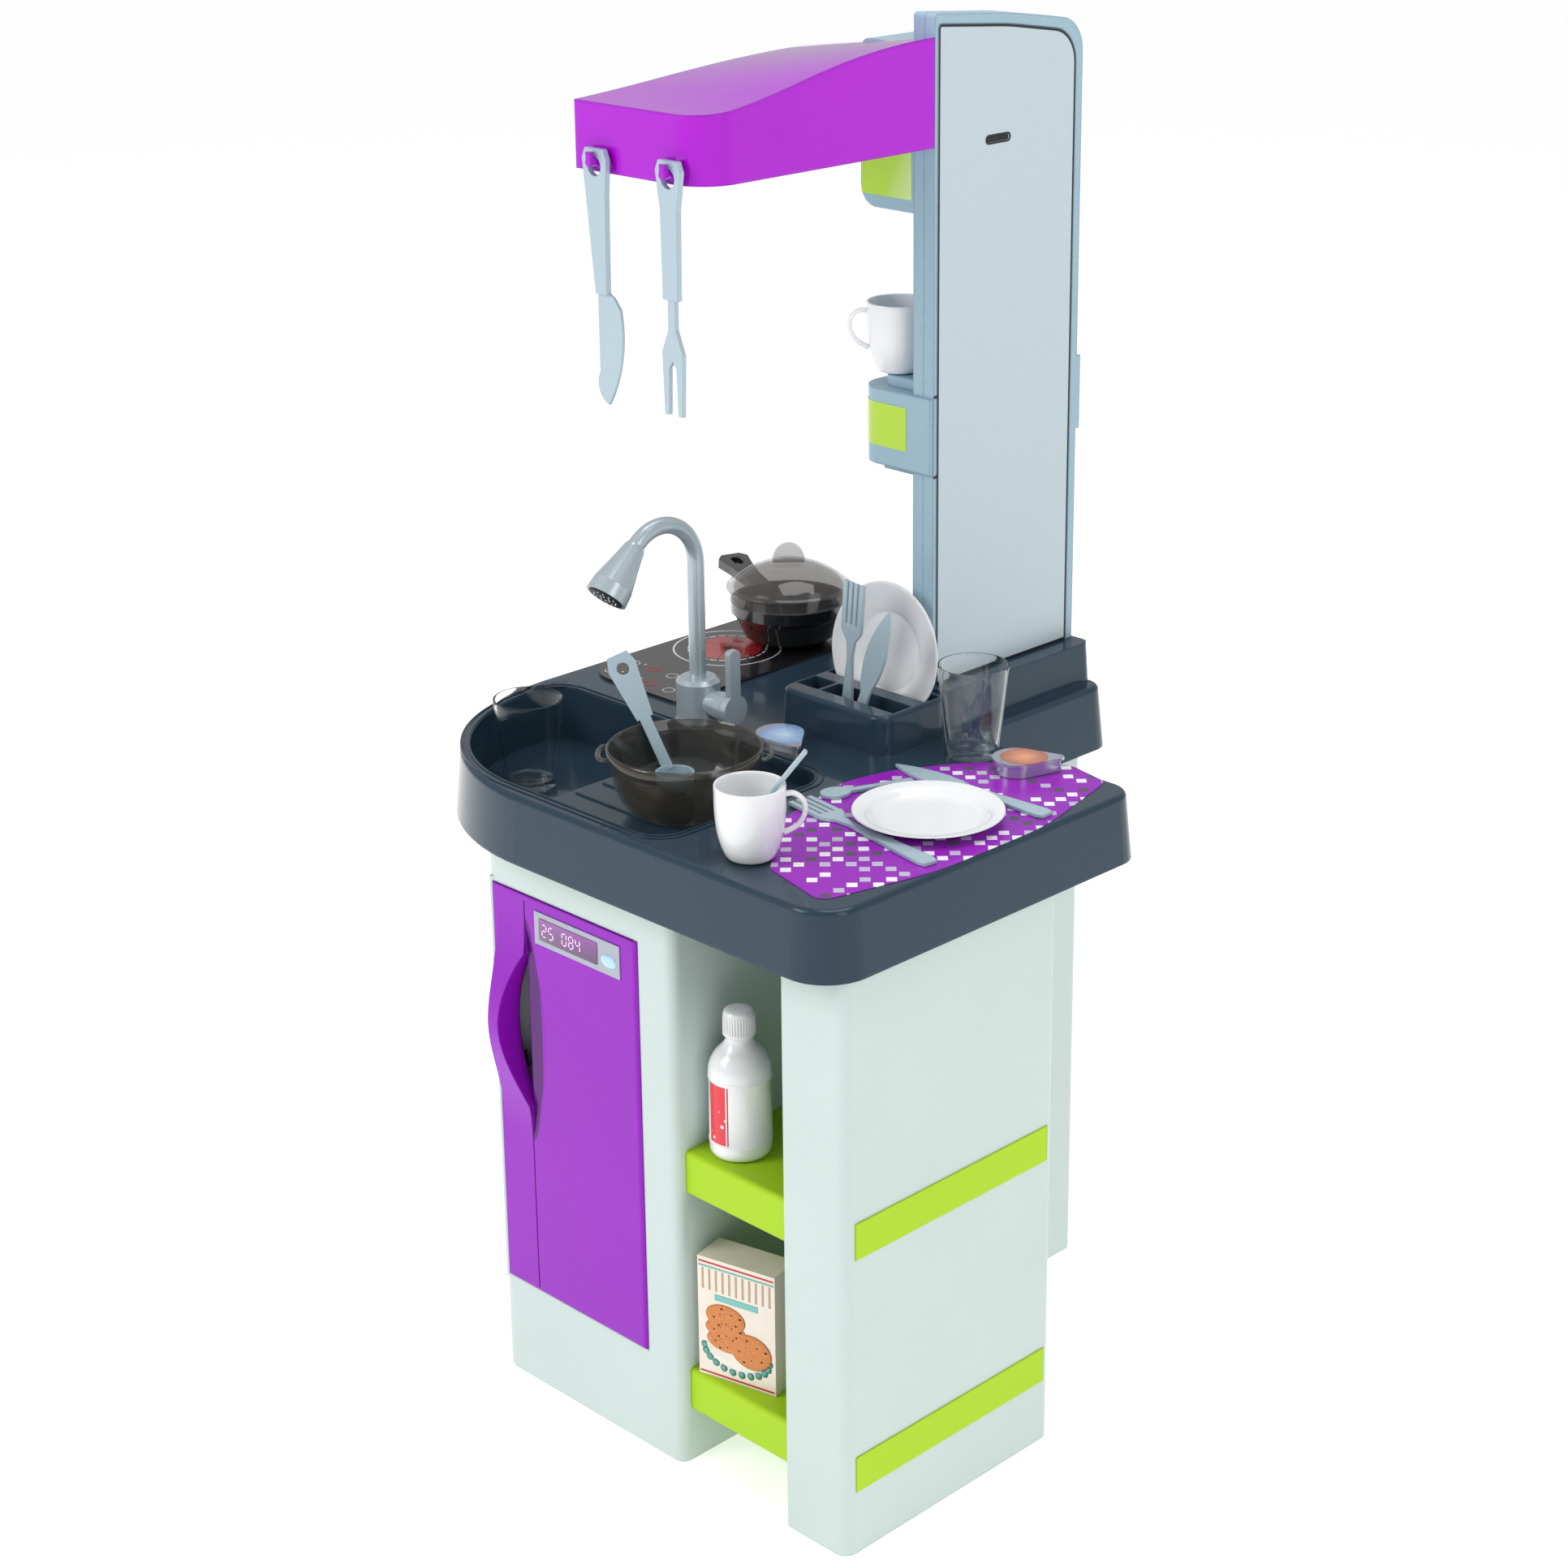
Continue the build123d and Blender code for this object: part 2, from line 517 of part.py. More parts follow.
# ================================================================ faucet
faucet_x, faucet_y = bowl_right - 16, sink_back + 21
FAUCET_BASE_R = 16.5
FAUCET_BASE_HEIGHT = 33.0
valve_z = top + 16.0
valve_out = 40.0
pipe_foot = top + 8.0
arch_z = top + 122.0
with BuildPart() as faucet_base:
    with BuildSketch(upright(faucet_x, faucet_y, top)):
        with BuildLine():
            Polyline((0, 0), (FAUCET_BASE_R + 1, 0), (FAUCET_BASE_R, 4), (FAUCET_BASE_R, FAUCET_BASE_HEIGHT - 3),
                     (FAUCET_BASE_R - 3, FAUCET_BASE_HEIGHT), (0, FAUCET_BASE_HEIGHT), close=True)
        make_face()
    revolve(axis=Axis((faucet_x, faucet_y, top), (0, 0, 1)))
    with BuildSketch(Plane.YZ.offset(faucet_x + 8)):
        with Locations((faucet_y, valve_z)):
            Circle(8.5)
    with BuildSketch(Plane.YZ.offset(faucet_x + valve_out - 6)):
        with Locations((faucet_y, valve_z)):
            Circle(11.5)
    loft()
    with Locations((faucet_x, faucet_y, pipe_foot + FAUCET_BASE_HEIGHT / 2)):
        Cylinder(PIPE_R + RUNNING_CLEARANCE, FAUCET_BASE_HEIGHT, mode=Mode.SUBTRACT)
    with Locations(Location((faucet_x + valve_out - 6, faucet_y, valve_z), (0, 90, 0))):
        Cylinder(3 + RUNNING_CLEARANCE, 20, mode=Mode.SUBTRACT)
save(faucet_base, "faucet_base")

HEAD_LENGTH = 42.0
HEAD_MOUTH_R = 16.0
arch_end = radians(137)
head_start = (faucet_x, faucet_y - ARCH_R + ARCH_R * cos(arch_end), arch_z + ARCH_R * sin(arch_end))
head_direction = (0, -sin(arch_end), cos(arch_end))
with BuildPart() as faucet_spout:
    with BuildLine() as pipe_path:
        Line((faucet_x, faucet_y, pipe_foot + 0.2), (faucet_x, faucet_y, arch_z))
        ThreePointArc(
            (faucet_x, faucet_y, arch_z),
            (faucet_x, faucet_y - ARCH_R + ARCH_R * cos(arch_end / 2), arch_z + ARCH_R * sin(arch_end / 2)),
            head_start,
        )
    with BuildSketch(Plane(origin=(faucet_x, faucet_y, pipe_foot + 0.2), z_dir=(0, 0, 1))):
        Circle(PIPE_R)
    sweep(path=pipe_path.wire())
    with BuildSketch(Plane(origin=head_start, x_dir=head_direction, z_dir=(1, 0, 0))):
        with BuildLine():
            Polyline((-2, 0), (-2, PIPE_R + 0.5), (0, PIPE_R + 1.5), (HEAD_LENGTH * 0.35, 11),
                     (HEAD_LENGTH * 0.75, 15.2), (HEAD_LENGTH, HEAD_MOUTH_R), (HEAD_LENGTH, HEAD_MOUTH_R - 2),
                     (HEAD_LENGTH - 4, HEAD_MOUTH_R - 4), (HEAD_LENGTH - 4, 0), close=True)
        make_face()
    revolve(axis=Axis(head_start, head_direction))
save(faucet_spout, "faucet_spout")

lever_x = faucet_x + valve_out - 6 + REST_GAP
with BuildPart() as faucet_lever:
    with Locations(Location((lever_x + 3, faucet_y, valve_z), (0, 90, 0))):
        Cylinder(11.5, 6)
    with Locations(Location((lever_x - 3, faucet_y, valve_z), (0, 90, 0))):
        Cylinder(3, 12)
    block((lever_x + 0.5, faucet_y - 5, valve_z), (lever_x + 6, faucet_y + 5, valve_z + 46))
    fillet(faucet_lever.faces().sort_by(Axis.Z)[-1].edges().filter_by(Axis.X), 3)
save(faucet_lever, "faucet_lever")

# ================================================================ tower
crown_drop = 18.0


def tower_outline(inset_front=0.0, inset_back=0.0, inset_top=0.0, foot=0.0):
    """Side outline of the tower in the sketch being built: flat foot, sloping crown, round back corner."""
    y0, y1 = tower_front + inset_front, tower_back - inset_back
    z0, z1 = tower_base + foot, tower_top - inset_top
    rounded_face(
        [(y0, z0), (y1, z0), (y1, z1 - crown_drop), ((y0 + y1) / 2, z1 - 0.36 * crown_drop), (y0, z1)],
        [0, 0, 26, 300, 3],
    )


tower_seam = tower_right - TOWER_THICKNESS / 2
PANEL_THICKNESS = 2.0
PANEL_GAP = 0.8
PANEL_BACK_RIM = 7.0
panel_x = tower_right - PANEL_THICKNESS
coffee_low, coffee_high = tower_base + 160.0, tower_base + 216.0
with BuildPart() as tower_outer_shell:
    with BuildSketch(Plane.YZ.offset(tower_seam)):
        tower_outline()
    extrude(amount=TOWER_THICKNESS / 2)
    with BuildSketch(Plane.YZ.offset(tower_seam)):
        tower_outline(TOWER_WALL, TOWER_WALL, TOWER_WALL, TOWER_WALL)
    extrude(amount=TOWER_THICKNESS / 2 - PANEL_THICKNESS - 2, mode=Mode.SUBTRACT)
    with BuildSketch(Plane.YZ.offset(panel_x)):
        tower_outline(TOWER_WALL, PANEL_BACK_RIM, PANEL_BACK_RIM, 0)
    extrude(amount=PANEL_THICKNESS, mode=Mode.SUBTRACT)
    block((tower_seam, tower_back - 1, coffee_low + 5), (tower_right, tower_back + 4, coffee_high + 5))
save(tower_outer_shell, "tower_outer_shell")

slot_z = tower_top - 93.0
with BuildPart() as tower_side_panel:
    with BuildSketch(Plane.YZ.offset(panel_x)):
        tower_outline(TOWER_WALL + PANEL_GAP, PANEL_BACK_RIM + PANEL_GAP, PANEL_BACK_RIM + PANEL_GAP, PANEL_GAP)
    extrude(amount=PANEL_THICKNESS)
    with BuildSketch(Plane.YZ.offset(panel_x)):
        with Locations((tower_front + 66, slot_z)):
            SlotOverall(24, 4)
    extrude(amount=PANEL_THICKNESS, mode=Mode.SUBTRACT)
save(tower_side_panel, "tower_side_panel")

with BuildPart() as tower_inner_shell:
    with BuildSketch(Plane.YZ.offset(tower_left)):
        tower_outline()
    extrude(amount=TOWER_THICKNESS / 2)
    with BuildSketch(Plane.YZ.offset(tower_left + TOWER_WALL)):
        tower_outline(TOWER_WALL, TOWER_WALL, TOWER_WALL, TOWER_WALL)
    extrude(amount=TOWER_THICKNESS / 2 - TOWER_WALL, mode=Mode.SUBTRACT)
save(tower_inner_shell, "tower_inner_shell")

# Upper box on the tower's inner side, behind the hood
box_left = tower_left - 51.0
box_base = tower_top - 140.0
with BuildPart() as tower_top_box:
    with BuildSketch(Plane.XZ.offset(-tower_front)):
        rounded_face([(box_left, box_base), (tower_left, box_base), (tower_left, tower_top - 22),
                      (box_left, tower_top - 22)], [15, 0, 0, 8])
    extrude(amount=-(TOWER_DEPTH - 4))
    with BuildSketch(Plane.XZ.offset(-tower_front - TOWER_WALL)):
        rounded_face([(box_left + 3, box_base + 3), (tower_left, box_base + 3), (tower_left, tower_top - 25),
                      (box_left + 3, tower_top - 25)], [12, 0, 0, 5])
    extrude(amount=-(TOWER_DEPTH - 4 - 2 * TOWER_WALL), mode=Mode.SUBTRACT)
save(tower_top_box, "tower_top_box")

# ---------------------------------------------------------------- coffee machine across the tower
COFFEE_PROUD = 3.0
COFFEE_CORNER_R = 22.0
coffee_front = tower_front - COFFEE_PROUD
COFFEE_REACH = 54.0
coffee_left = tower_left - COFFEE_REACH
with BuildPart() as coffee_machine_body:
    with BuildSketch(Plane.XY.offset(coffee_low)):
        rounded_face([(coffee_left, coffee_front), (tower_left, coffee_front), (tower_left, tower_back + 2),
                      (coffee_left, tower_back + 2)], [COFFEE_CORNER_R, 0, 0, 18])
    extrude(amount=coffee_high - coffee_low)
    with BuildSketch(Plane.XY.offset(coffee_low + 3)):
        rounded_face([(coffee_left + 3, coffee_front + 3), (tower_left, coffee_front + 3), (tower_left, tower_back - 1),
                      (coffee_left + 3, tower_back - 1)], [COFFEE_CORNER_R - 3, 0, 0, 15])
    extrude(amount=coffee_high - coffee_low - 6, mode=Mode.SUBTRACT)
    block((tower_left, coffee_front, coffee_low), (tower_right - 0.6, tower_front, coffee_high))
save(coffee_machine_body, "coffee_machine_body")

CUP_STAND = 8.0
with BuildPart() as coffee_cup_stand:
    with BuildSketch(Plane.XY.offset(coffee_high)):
        rounded_face([(coffee_left + 12, tower_front + 8), (tower_left, tower_front + 8),
                      (tower_left, tower_front + 70), (coffee_left + 12, tower_front + 70)], [16, 0, 0, 16])
    extrude(amount=CUP_STAND)
    fillet(coffee_cup_stand.faces().sort_by(Axis.Z)[-1].edges().sort_by(Axis.X)[0], 2)
save(coffee_cup_stand, "coffee_cup_stand")

with BuildPart() as coffee_spout:
    block((coffee_left + 18, tower_front + 8, coffee_low - 6), (tower_left, tower_front + 60, coffee_low))
    for y in (tower_front + 26, tower_front + 38):
        with Locations((tower_left - 9, y, coffee_low - 9)):
            Cylinder(3, 6)
save(coffee_spout, "coffee_spout")

LABEL = 0.5
LABEL_WRAP = 70.0
LABEL_HEIGHT = 32.0
with BuildPart() as tower_labels:
    # coffee machine label, wrapped round the front left corner
    with BuildSketch(Plane.XY.offset(coffee_low + 14)):
        rounded_face([(coffee_left - LABEL, coffee_front - LABEL), (tower_left - 4, coffee_front - LABEL),
                      (tower_left - 4, coffee_front + LABEL_WRAP), (coffee_left - LABEL, coffee_front + LABEL_WRAP)],
                     [COFFEE_CORNER_R + LABEL, 0, 0, 0])
    extrude(amount=LABEL_HEIGHT)
    with BuildSketch(Plane.XY.offset(coffee_low + 14)):
        rounded_face([(coffee_left, coffee_front), (tower_left, coffee_front),
                      (tower_left, coffee_front + LABEL_WRAP + 10), (coffee_left, coffee_front + LABEL_WRAP + 10)],
                     [COFFEE_CORNER_R, 0, 0, 0])
    extrude(amount=LABEL_HEIGHT, mode=Mode.SUBTRACT)
    block((box_left + 1, tower_front - LABEL, box_base + 9), (tower_left - 2, tower_front, box_base + 46))
save(tower_labels, "tower_labels")

# ================================================================ hood
hood_left = tower_right - HOOD_WIDTH
hood_front = tower_front - HOOD_DEPTH
hood_base = tower_top - 92.0
HOOD_CORNER_R = 28.0


def hood_side(rise, shrink=0.0):
    """Side outline of the hood in the sketch being built: the top rises in an S from the front to the tower."""
    y0, y1 = hood_front + shrink, tower_front - shrink
    z0 = hood_base if shrink == 0 else hood_base - 1
    z1 = hood_base + HOOD_SIDE_HEIGHT - shrink
    with BuildLine() as outline:
        Polyline((y0, z1), (y0, z0), (y1, z0), (y1, z1 + rise))
        Spline((y1, z1 + rise), (y0 + 0.55 * (y1 - y0), z1 + 0.68 * rise), (y0, z1),
               tangents=((-1, -0.01), (-1, -0.05)))
    make_face(outline.edges())


HOOD_RISE_LEFT, HOOD_RISE_RIGHT = 14.0, 30.0
with BuildPart() as hood_hollow:
    with BuildSketch(Plane.YZ.offset(hood_left + HOOD_WALL)):
        hood_side(HOOD_RISE_LEFT, HOOD_WALL)
    with BuildSketch(Plane.YZ.offset(tower_right - HOOD_WALL)):
        hood_side(HOOD_RISE_RIGHT, HOOD_WALL)
    loft()
    front_corners = hood_hollow.edges().filter_by(Axis.Z).group_by(Axis.Y)[0].sort_by(Axis.X)
    fillet(front_corners[-1], HOOD_CORNER_R - HOOD_WALL)

with BuildPart() as hood_shell:
    with BuildSketch(Plane.YZ.offset(hood_left)):
        hood_side(HOOD_RISE_LEFT)
    with BuildSketch(Plane.YZ.offset(tower_right)):
        hood_side(HOOD_RISE_RIGHT)
    loft()
    front_corners = hood_shell.edges().filter_by(Axis.Z).group_by(Axis.Y)[0].sort_by(Axis.X)
    fillet(front_corners[-1], HOOD_CORNER_R)
    add(hood_hollow.part, mode=Mode.SUBTRACT)
save(hood_shell, "hood_shell")

UNDERSIDE_LIFT = 6.0
with BuildPart() as hood_underside:
    with BuildSketch(Plane.XY.offset(hood_base + UNDERSIDE_LIFT)):
        rounded_face([(hood_left + HOOD_WALL, hood_front + HOOD_WALL), (tower_right - HOOD_WALL, hood_front + HOOD_WALL),
                      (tower_right - HOOD_WALL, tower_front - HOOD_WALL),
                      (hood_left + HOOD_WALL, tower_front - HOOD_WALL)], [0, HOOD_CORNER_R - 3, 0, 0])
    extrude(amount=2.5)
save(hood_underside, "hood_underside")

# Two peg hooks on the hood's front face
PEG_R = 3.0
PEG_LENGTH = 12.0
peg_z = hood_base + 8.0
knife_x, fork_x = hood_left + 26.0, tower_right - 27.0
with BuildPart() as utensil_hooks:
    for x in (knife_x, fork_x):
        with Locations(Location((x, hood_front - PEG_LENGTH / 2, peg_z), (90, 0, 0))):
            Cylinder(PEG_R, PEG_LENGTH)
        with Locations((x, hood_front - PEG_LENGTH + PEG_R / 2, peg_z + 3)):
            Box(2 * PEG_R - 1, PEG_R, 8)
        block((x - 7, hood_front - 1.5, peg_z - 6), (x + 7, hood_front, peg_z + 9))
save(utensil_hooks, "utensil_hooks")

# ---------------------------------------------------------------- knife and fork hanging on the pegs
UTENSIL_THICKNESS = 4.0
EYELET_R = 6.5
utensil_y = hood_front - 3.0
eyelet_z = peg_z + PEG_R + REST_GAP - EYELET_R


def hanging_plane(x):
    """Plane of a hanging utensil: sketch y runs up, and the eyelet's centre is the origin."""
    return upright(x, utensil_y, eyelet_z)


with BuildPart() as hanging_knife:
    with BuildSketch(hanging_plane(knife_x)):
        with BuildLine():
            Polyline((-9, 12), (9, 12), (12, 5), (10, -20), (9, -86), (-2, -86))
            Line((-2, -86), (-9, -20))
            Polyline((-9, -20), (-12, 5), (-9, 12))
        make_face()
        Circle(EYELET_R, mode=Mode.SUBTRACT)
    extrude(amount=UTENSIL_THICKNESS)
    with BuildSketch(hanging_plane(knife_x)):
        with BuildLine():
            Polyline((-2, -85), (-2, -140))
            ThreePointArc((-2, -140), (2, -160), (6, -162))
            ThreePointArc((6, -162), (17, -140), (20, -95))
            Polyline((20, -95), (14, -88), (9, -85), (-2, -85))
        make_face()
    extrude(amount=UTENSIL_THICKNESS - 2)
save(hanging_knife, "hanging_knife")

with BuildPart() as hanging_fork:
    with BuildSketch(hanging_plane(fork_x)):
        with BuildLine():
            Polyline((-9, 12), (9, 12), (12, 5), (8, -20), (7, -80), (-7, -80), (-8, -20), (-12, 5), (-9, 12))
        make_face()
        Circle(EYELET_R, mode=Mode.SUBTRACT)
    extrude(amount=UTENSIL_THICKNESS)
    with BuildSketch(hanging_plane(fork_x)):
        with BuildLine():
            Polyline((-3.5, -79), (3.5, -79), (3.5, -100), (10, -116), (8.5, -158), (4.5, -158), (3.5, -126),
                     (0, -121), (-3.5, -126), (-4.5, -158), (-8.5, -158), (-10, -116), (-3.5, -100), (-3.5, -79))
        make_face()
    extrude(amount=UTENSIL_THICKNESS - 1)
save(hanging_fork, "hanging_fork")

# ================================================================ pans
# Saucepan on the drainboard, with a ladle leaning in it
saucepan_place = (sink_right - 52.0, sink_front + 73.0, drainboard + 1.2 + REST_GAP)
SAUCEPAN_R = 55.0
SAUCEPAN_HEIGHT = 47.0
PAN_WALL = 2.5
saucepan_bowl = turned(
    [(0, 0), (36, 0), (45, 8), (51, 24), (53, SAUCEPAN_HEIGHT - 8), (SAUCEPAN_R, SAUCEPAN_HEIGHT - 7),
     (SAUCEPAN_R, SAUCEPAN_HEIGHT), (SAUCEPAN_R - PAN_WALL, SAUCEPAN_HEIGHT), (50.5, SAUCEPAN_HEIGHT - 7),
     (48.5, 24), (43, 10.5), (35, PAN_WALL), (0, PAN_WALL)],
    saucepan_place,
)
EAR_TURN = 45.0
with BuildPart() as saucepan:
    add(saucepan_bowl.part)
    for turn in (EAR_TURN, EAR_TURN + 180):
        ear = Plane(origin=(saucepan_place[0], saucepan_place[1], saucepan_place[2] + SAUCEPAN_HEIGHT - 7),
                    x_dir=(cos(radians(turn)), sin(radians(turn)), 0))
        with BuildSketch(ear):
            with Locations((SAUCEPAN_R + 1, 0)):
                RectangleRounded(10, 34, 4)
            with Locations((0, 0)):
                Circle(SAUCEPAN_R - 1.5, mode=Mode.SUBTRACT)
        extrude(amount=3)
save(saucepan, "saucepan")

# The ladle's handle leans towards the rim; its sketch lies in the handle's own plane, x towards its top
LADLE_LENGTH = 89.0
LADLE_THICKNESS = 4.0
LADLE_BOWL_R = 14.0
LADLE_BOWL_WALL = 2.0
ladle_foot = Vector(*saucepan_place) + Vector(-32, 13.4, PAN_WALL + LADLE_BOWL_R + REST_GAP)
ladle_bowl = ladle_foot + Vector(0.92, -0.39, 0) * (LADLE_BOWL_R - 1)
ladle_lean = Vector(-0.452, -0.116, 0.885)
ladle_view = Vector(0.62, -0.62, 0.28)
ladle_plane = Plane(origin=ladle_foot, x_dir=ladle_lean,
                    z_dir=ladle_view - ladle_lean * ladle_view.dot(ladle_lean))
with BuildPart() as ladle:
    with BuildSketch(ladle_plane):
        with BuildLine():
            Polyline((0, -4), (LADLE_LENGTH * 0.45, -4), (LADLE_LENGTH * 0.45, -6), (LADLE_LENGTH - 10, -10.5),
                     (LADLE_LENGTH, -7.5), (LADLE_LENGTH, 7.5), (LADLE_LENGTH - 10, 10.5),
                     (LADLE_LENGTH * 0.45, 6), (LADLE_LENGTH * 0.45, 4), (0, 4), close=True)
        make_face()
        with Locations((LADLE_LENGTH - 11, 0)):
            Circle(4.5, mode=Mode.SUBTRACT)
    extrude(amount=LADLE_THICKNESS / 2, both=True)
    with BuildSketch(upright(*ladle_bowl)):
        with BuildLine():
            ThreePointArc((0, -LADLE_BOWL_R), (LADLE_BOWL_R * cos(pi / 4), -LADLE_BOWL_R * sin(pi / 4)),
                          (LADLE_BOWL_R, 0))
            Polyline((LADLE_BOWL_R, 0), (LADLE_BOWL_R, 3), (LADLE_BOWL_R - LADLE_BOWL_WALL, 3),
                     (LADLE_BOWL_R - LADLE_BOWL_WALL, 0))
            inner_r = LADLE_BOWL_R - LADLE_BOWL_WALL
            ThreePointArc((inner_r, 0), (inner_r * cos(pi / 4), -inner_r * sin(pi / 4)), (0, -inner_r))
            Line((0, -inner_r), (0, -LADLE_BOWL_R))
        make_face()
    revolve(axis=Axis(tuple(ladle_bowl), (0, 0, 1)))
save(ladle, "ladle")

# ---------------------------------------------------------------- frying pan on the hob, with its lid
FRYING_R = 46.5
FRYING_HEIGHT = 35.0
frying_place = (hob_left + 67.0, hob_back - 70.0, top + HOB_THICKNESS + REST_GAP)
frying_bowl = turned(
    [(0, 0), (28, 0), (36, 6), (43, 22), (FRYING_R - 1, 25), (FRYING_R, 26), (FRYING_R, FRYING_HEIGHT),
     (FRYING_R - 3, FRYING_HEIGHT), (FRYING_R - 3.5, 27), (40.5, 22), (34, 8.5), (27, 3), (0, 3)],
    frying_place,
)
FRYING_HANDLE = 114.0
handle_turn = radians(161)
handle_plane = Plane(
    origin=(frying_place[0], frying_place[1], frying_place[2] + 17),
    x_dir=(cos(handle_turn), sin(handle_turn), 0.14),
    z_dir=(-0.14 * cos(handle_turn), -0.14 * sin(handle_turn), 1),
)
with BuildPart() as frying_pan:
    add(frying_bowl.part)
    with BuildSketch(handle_plane):
        with BuildLine():
            Polyline((42.5, -8), (72, -7.5), (92, -10), (FRYING_HANDLE - 6, -13), (FRYING_HANDLE, -8),
                     (FRYING_HANDLE, 8), (FRYING_HANDLE - 6, 13), (92, 10), (72, 7.5), (42.5, 8), close=True)
        make_face()
        with Locations((FRYING_HANDLE - 14, 0)):
            SlotOverall(14, 8, mode=Mode.SUBTRACT)
    extrude(amount=8)
save(frying_pan, "frying_pan")

LID_R = 50.0
lid_place = (frying_place[0], frying_place[1], frying_place[2] + FRYING_HEIGHT + REST_GAP)
lid_dome = turned(
    [(FRYING_R - 3, 0), (FRYING_R, 0), (FRYING_R + 1, 8), (LID_R, 9), (LID_R, 11), (47, 12), (38, 20), (25, 27),
     (12, 30.4), (0, 31), (0, 29), (12, 28.4), (24, 25.2), (37, 18.2), (44, 11), (43.5, 8)],
    lid_place,
)
KNOB_R = 13.0
knob_plane = Plane(origin=(lid_place[0], lid_place[1], lid_place[2] + 30), x_dir=(1, 1, 0), z_dir=(1, -1, 0))
with BuildPart() as pan_lid:
    add(lid_dome.part)
    with BuildSketch(knob_plane):
        with BuildLine():
            ThreePointArc((KNOB_R, 0), (0, KNOB_R + 1.5), (-KNOB_R, 0))
            Line((-KNOB_R, 0), (KNOB_R, 0))
        make_face()
    extrude(amount=3.5, both=True)
save(pan_lid, "pan_lid")

# ================================================================ glasses and mugs
GLASS_R = 26.0
GLASS_HEIGHT = 68.0
glass_places = {
    "sink_glass": (sink_left + 64.0, sink_front + 76.0, bowl_floor + REST_GAP),
    "table_glass": (right - 135.0, table_back - 32.0, top + REST_GAP),
}
for glass_name, glass_place in glass_places.items():
    glass = turned([(0, 0), (18, 0), (GLASS_R, GLASS_HEIGHT), (GLASS_R - 2, GLASS_HEIGHT), (16.6, 5), (0, 5)],
                   glass_place)
    save(glass, glass_name)

MUG_R = 24.0
MUG_HEIGHT = 52.0
MUG_WALL = 2.0
table_mug_place = (right - 112.0, front + 42.0, top + REST_GAP)
coffee_mug_place = (coffee_left + 19.0, tower_front + 23.0, coffee_high + CUP_STAND + REST_GAP)
for mug_name, mug_place, handle_turn in (("table_mug", table_mug_place, 45), ("coffee_mug", coffee_mug_place, 225)):
    cup = turned(
        [(0, 0), (14, 0), (17, 2), (22, 16), (MUG_R, 34), (MUG_R, MUG_HEIGHT), (MUG_R - MUG_WALL, MUG_HEIGHT),
         (MUG_R - MUG_WALL, 34), (20, 17), (15, 4.5), (0, 4.5)],
        mug_place,
    )
    ear_plane = Plane(origin=mug_place, x_dir=(cos(radians(handle_turn)), sin(radians(handle_turn)), 0),
                      z_dir=(sin(radians(handle_turn)), -cos(radians(handle_turn)), 0))
    with BuildPart() as mug:
        add(cup.part)
        with BuildLine(ear_plane) as ear_path:
            Spline((MUG_R - 1, 41), (MUG_R + 13, 33), (MUG_R - 2.5, 15), tangents=((1, 0.5), (-1, -0.1)))
        with BuildSketch(Plane(origin=ear_path.line @ 0, z_dir=ear_path.line % 0)):
            Circle(2.6)
        sweep(path=ear_path.wire())
    save(mug, mug_name)

# ================================================================ cutlery
CUTLERY_THICKNESS = 2.5
FORK_LENGTH = 143.0
KNIFE_LENGTH = 140.0
SPOON_LENGTH = 70.0
TEASPOON_LENGTH = 83.0


def fork_blank(length):
    """Fork outline in the sketch being built: handle end at the origin, tines along +x."""
    with BuildLine() as outline:
        Polyline((0, -5), (0, 5), (6, 7), (length * 0.35, 5), (length * 0.6, 2.5), (length * 0.68, 4),
                 (length * 0.74, 10), (length, 10), (length, -10), (length * 0.74, -10), (length * 0.68, -4),
                 (length * 0.6, -2.5), (length * 0.35, -5), (6, -7), (0, -5))
    make_face(outline.edges())
    for y in (-5, 0, 5):
        with Locations((length - 15, y)):
            Rectangle(34, 1.8, mode=Mode.SUBTRACT)


def knife_blank(length):
    """Knife outline in the sketch being built: handle end at the origin, blade along +x."""
    with BuildLine() as outline:
        Polyline((length * 0.47, -4), (6, -7), (0, -5), (0, 5), (6, 7), (length * 0.47, 4), (length * 0.53, 7))
        ThreePointArc((length * 0.53, 7), (length * 0.85, 7.5), (length, 0))
        ThreePointArc((length, 0), (length * 0.9, -5), (length * 0.53, -5))
        Line((length * 0.53, -5), (length * 0.47, -4))
    make_face(outline.edges())


def spoon_blank(length, bowl_width):
    """Spoon outline in the sketch being built: bowl tip at the origin, handle along +x."""
    with Locations((length * 0.16, 0)):
        Ellipse(length * 0.16, bowl_width / 2)
    with Locations((length * 0.64, 0)):
        Rectangle(length * 0.72, 5)


mat_top = top + MAT_THICKNESS + REST_GAP
fork_end = (right - 16.0, front + 113.0, mat_top)
with BuildPart() as table_fork:
    with BuildSketch(Plane(origin=fork_end, x_dir=(-0.99, 0.14, 0))):
        fork_blank(FORK_LENGTH)
    extrude(amount=CUTLERY_THICKNESS)
save(table_fork, "table_fork")

knife_end = (right - 16.0, table_back - 88.0, mat_top)
with BuildPart() as table_knife:
    with BuildSketch(Plane(origin=knife_end, x_dir=(-1, -0.02, 0))):
        knife_blank(KNIFE_LENGTH)
    extrude(amount=CUTLERY_THICKNESS)
save(table_knife, "table_knife")

with BuildPart() as table_spoon:
    with BuildSketch(Plane(origin=(right - 153.0, front + 149.0, mat_top), x_dir=(0.37, 0.93, 0))):
        spoon_blank(SPOON_LENGTH, 18)
    extrude(amount=CUTLERY_THICKNESS)
save(table_spoon, "table_spoon")

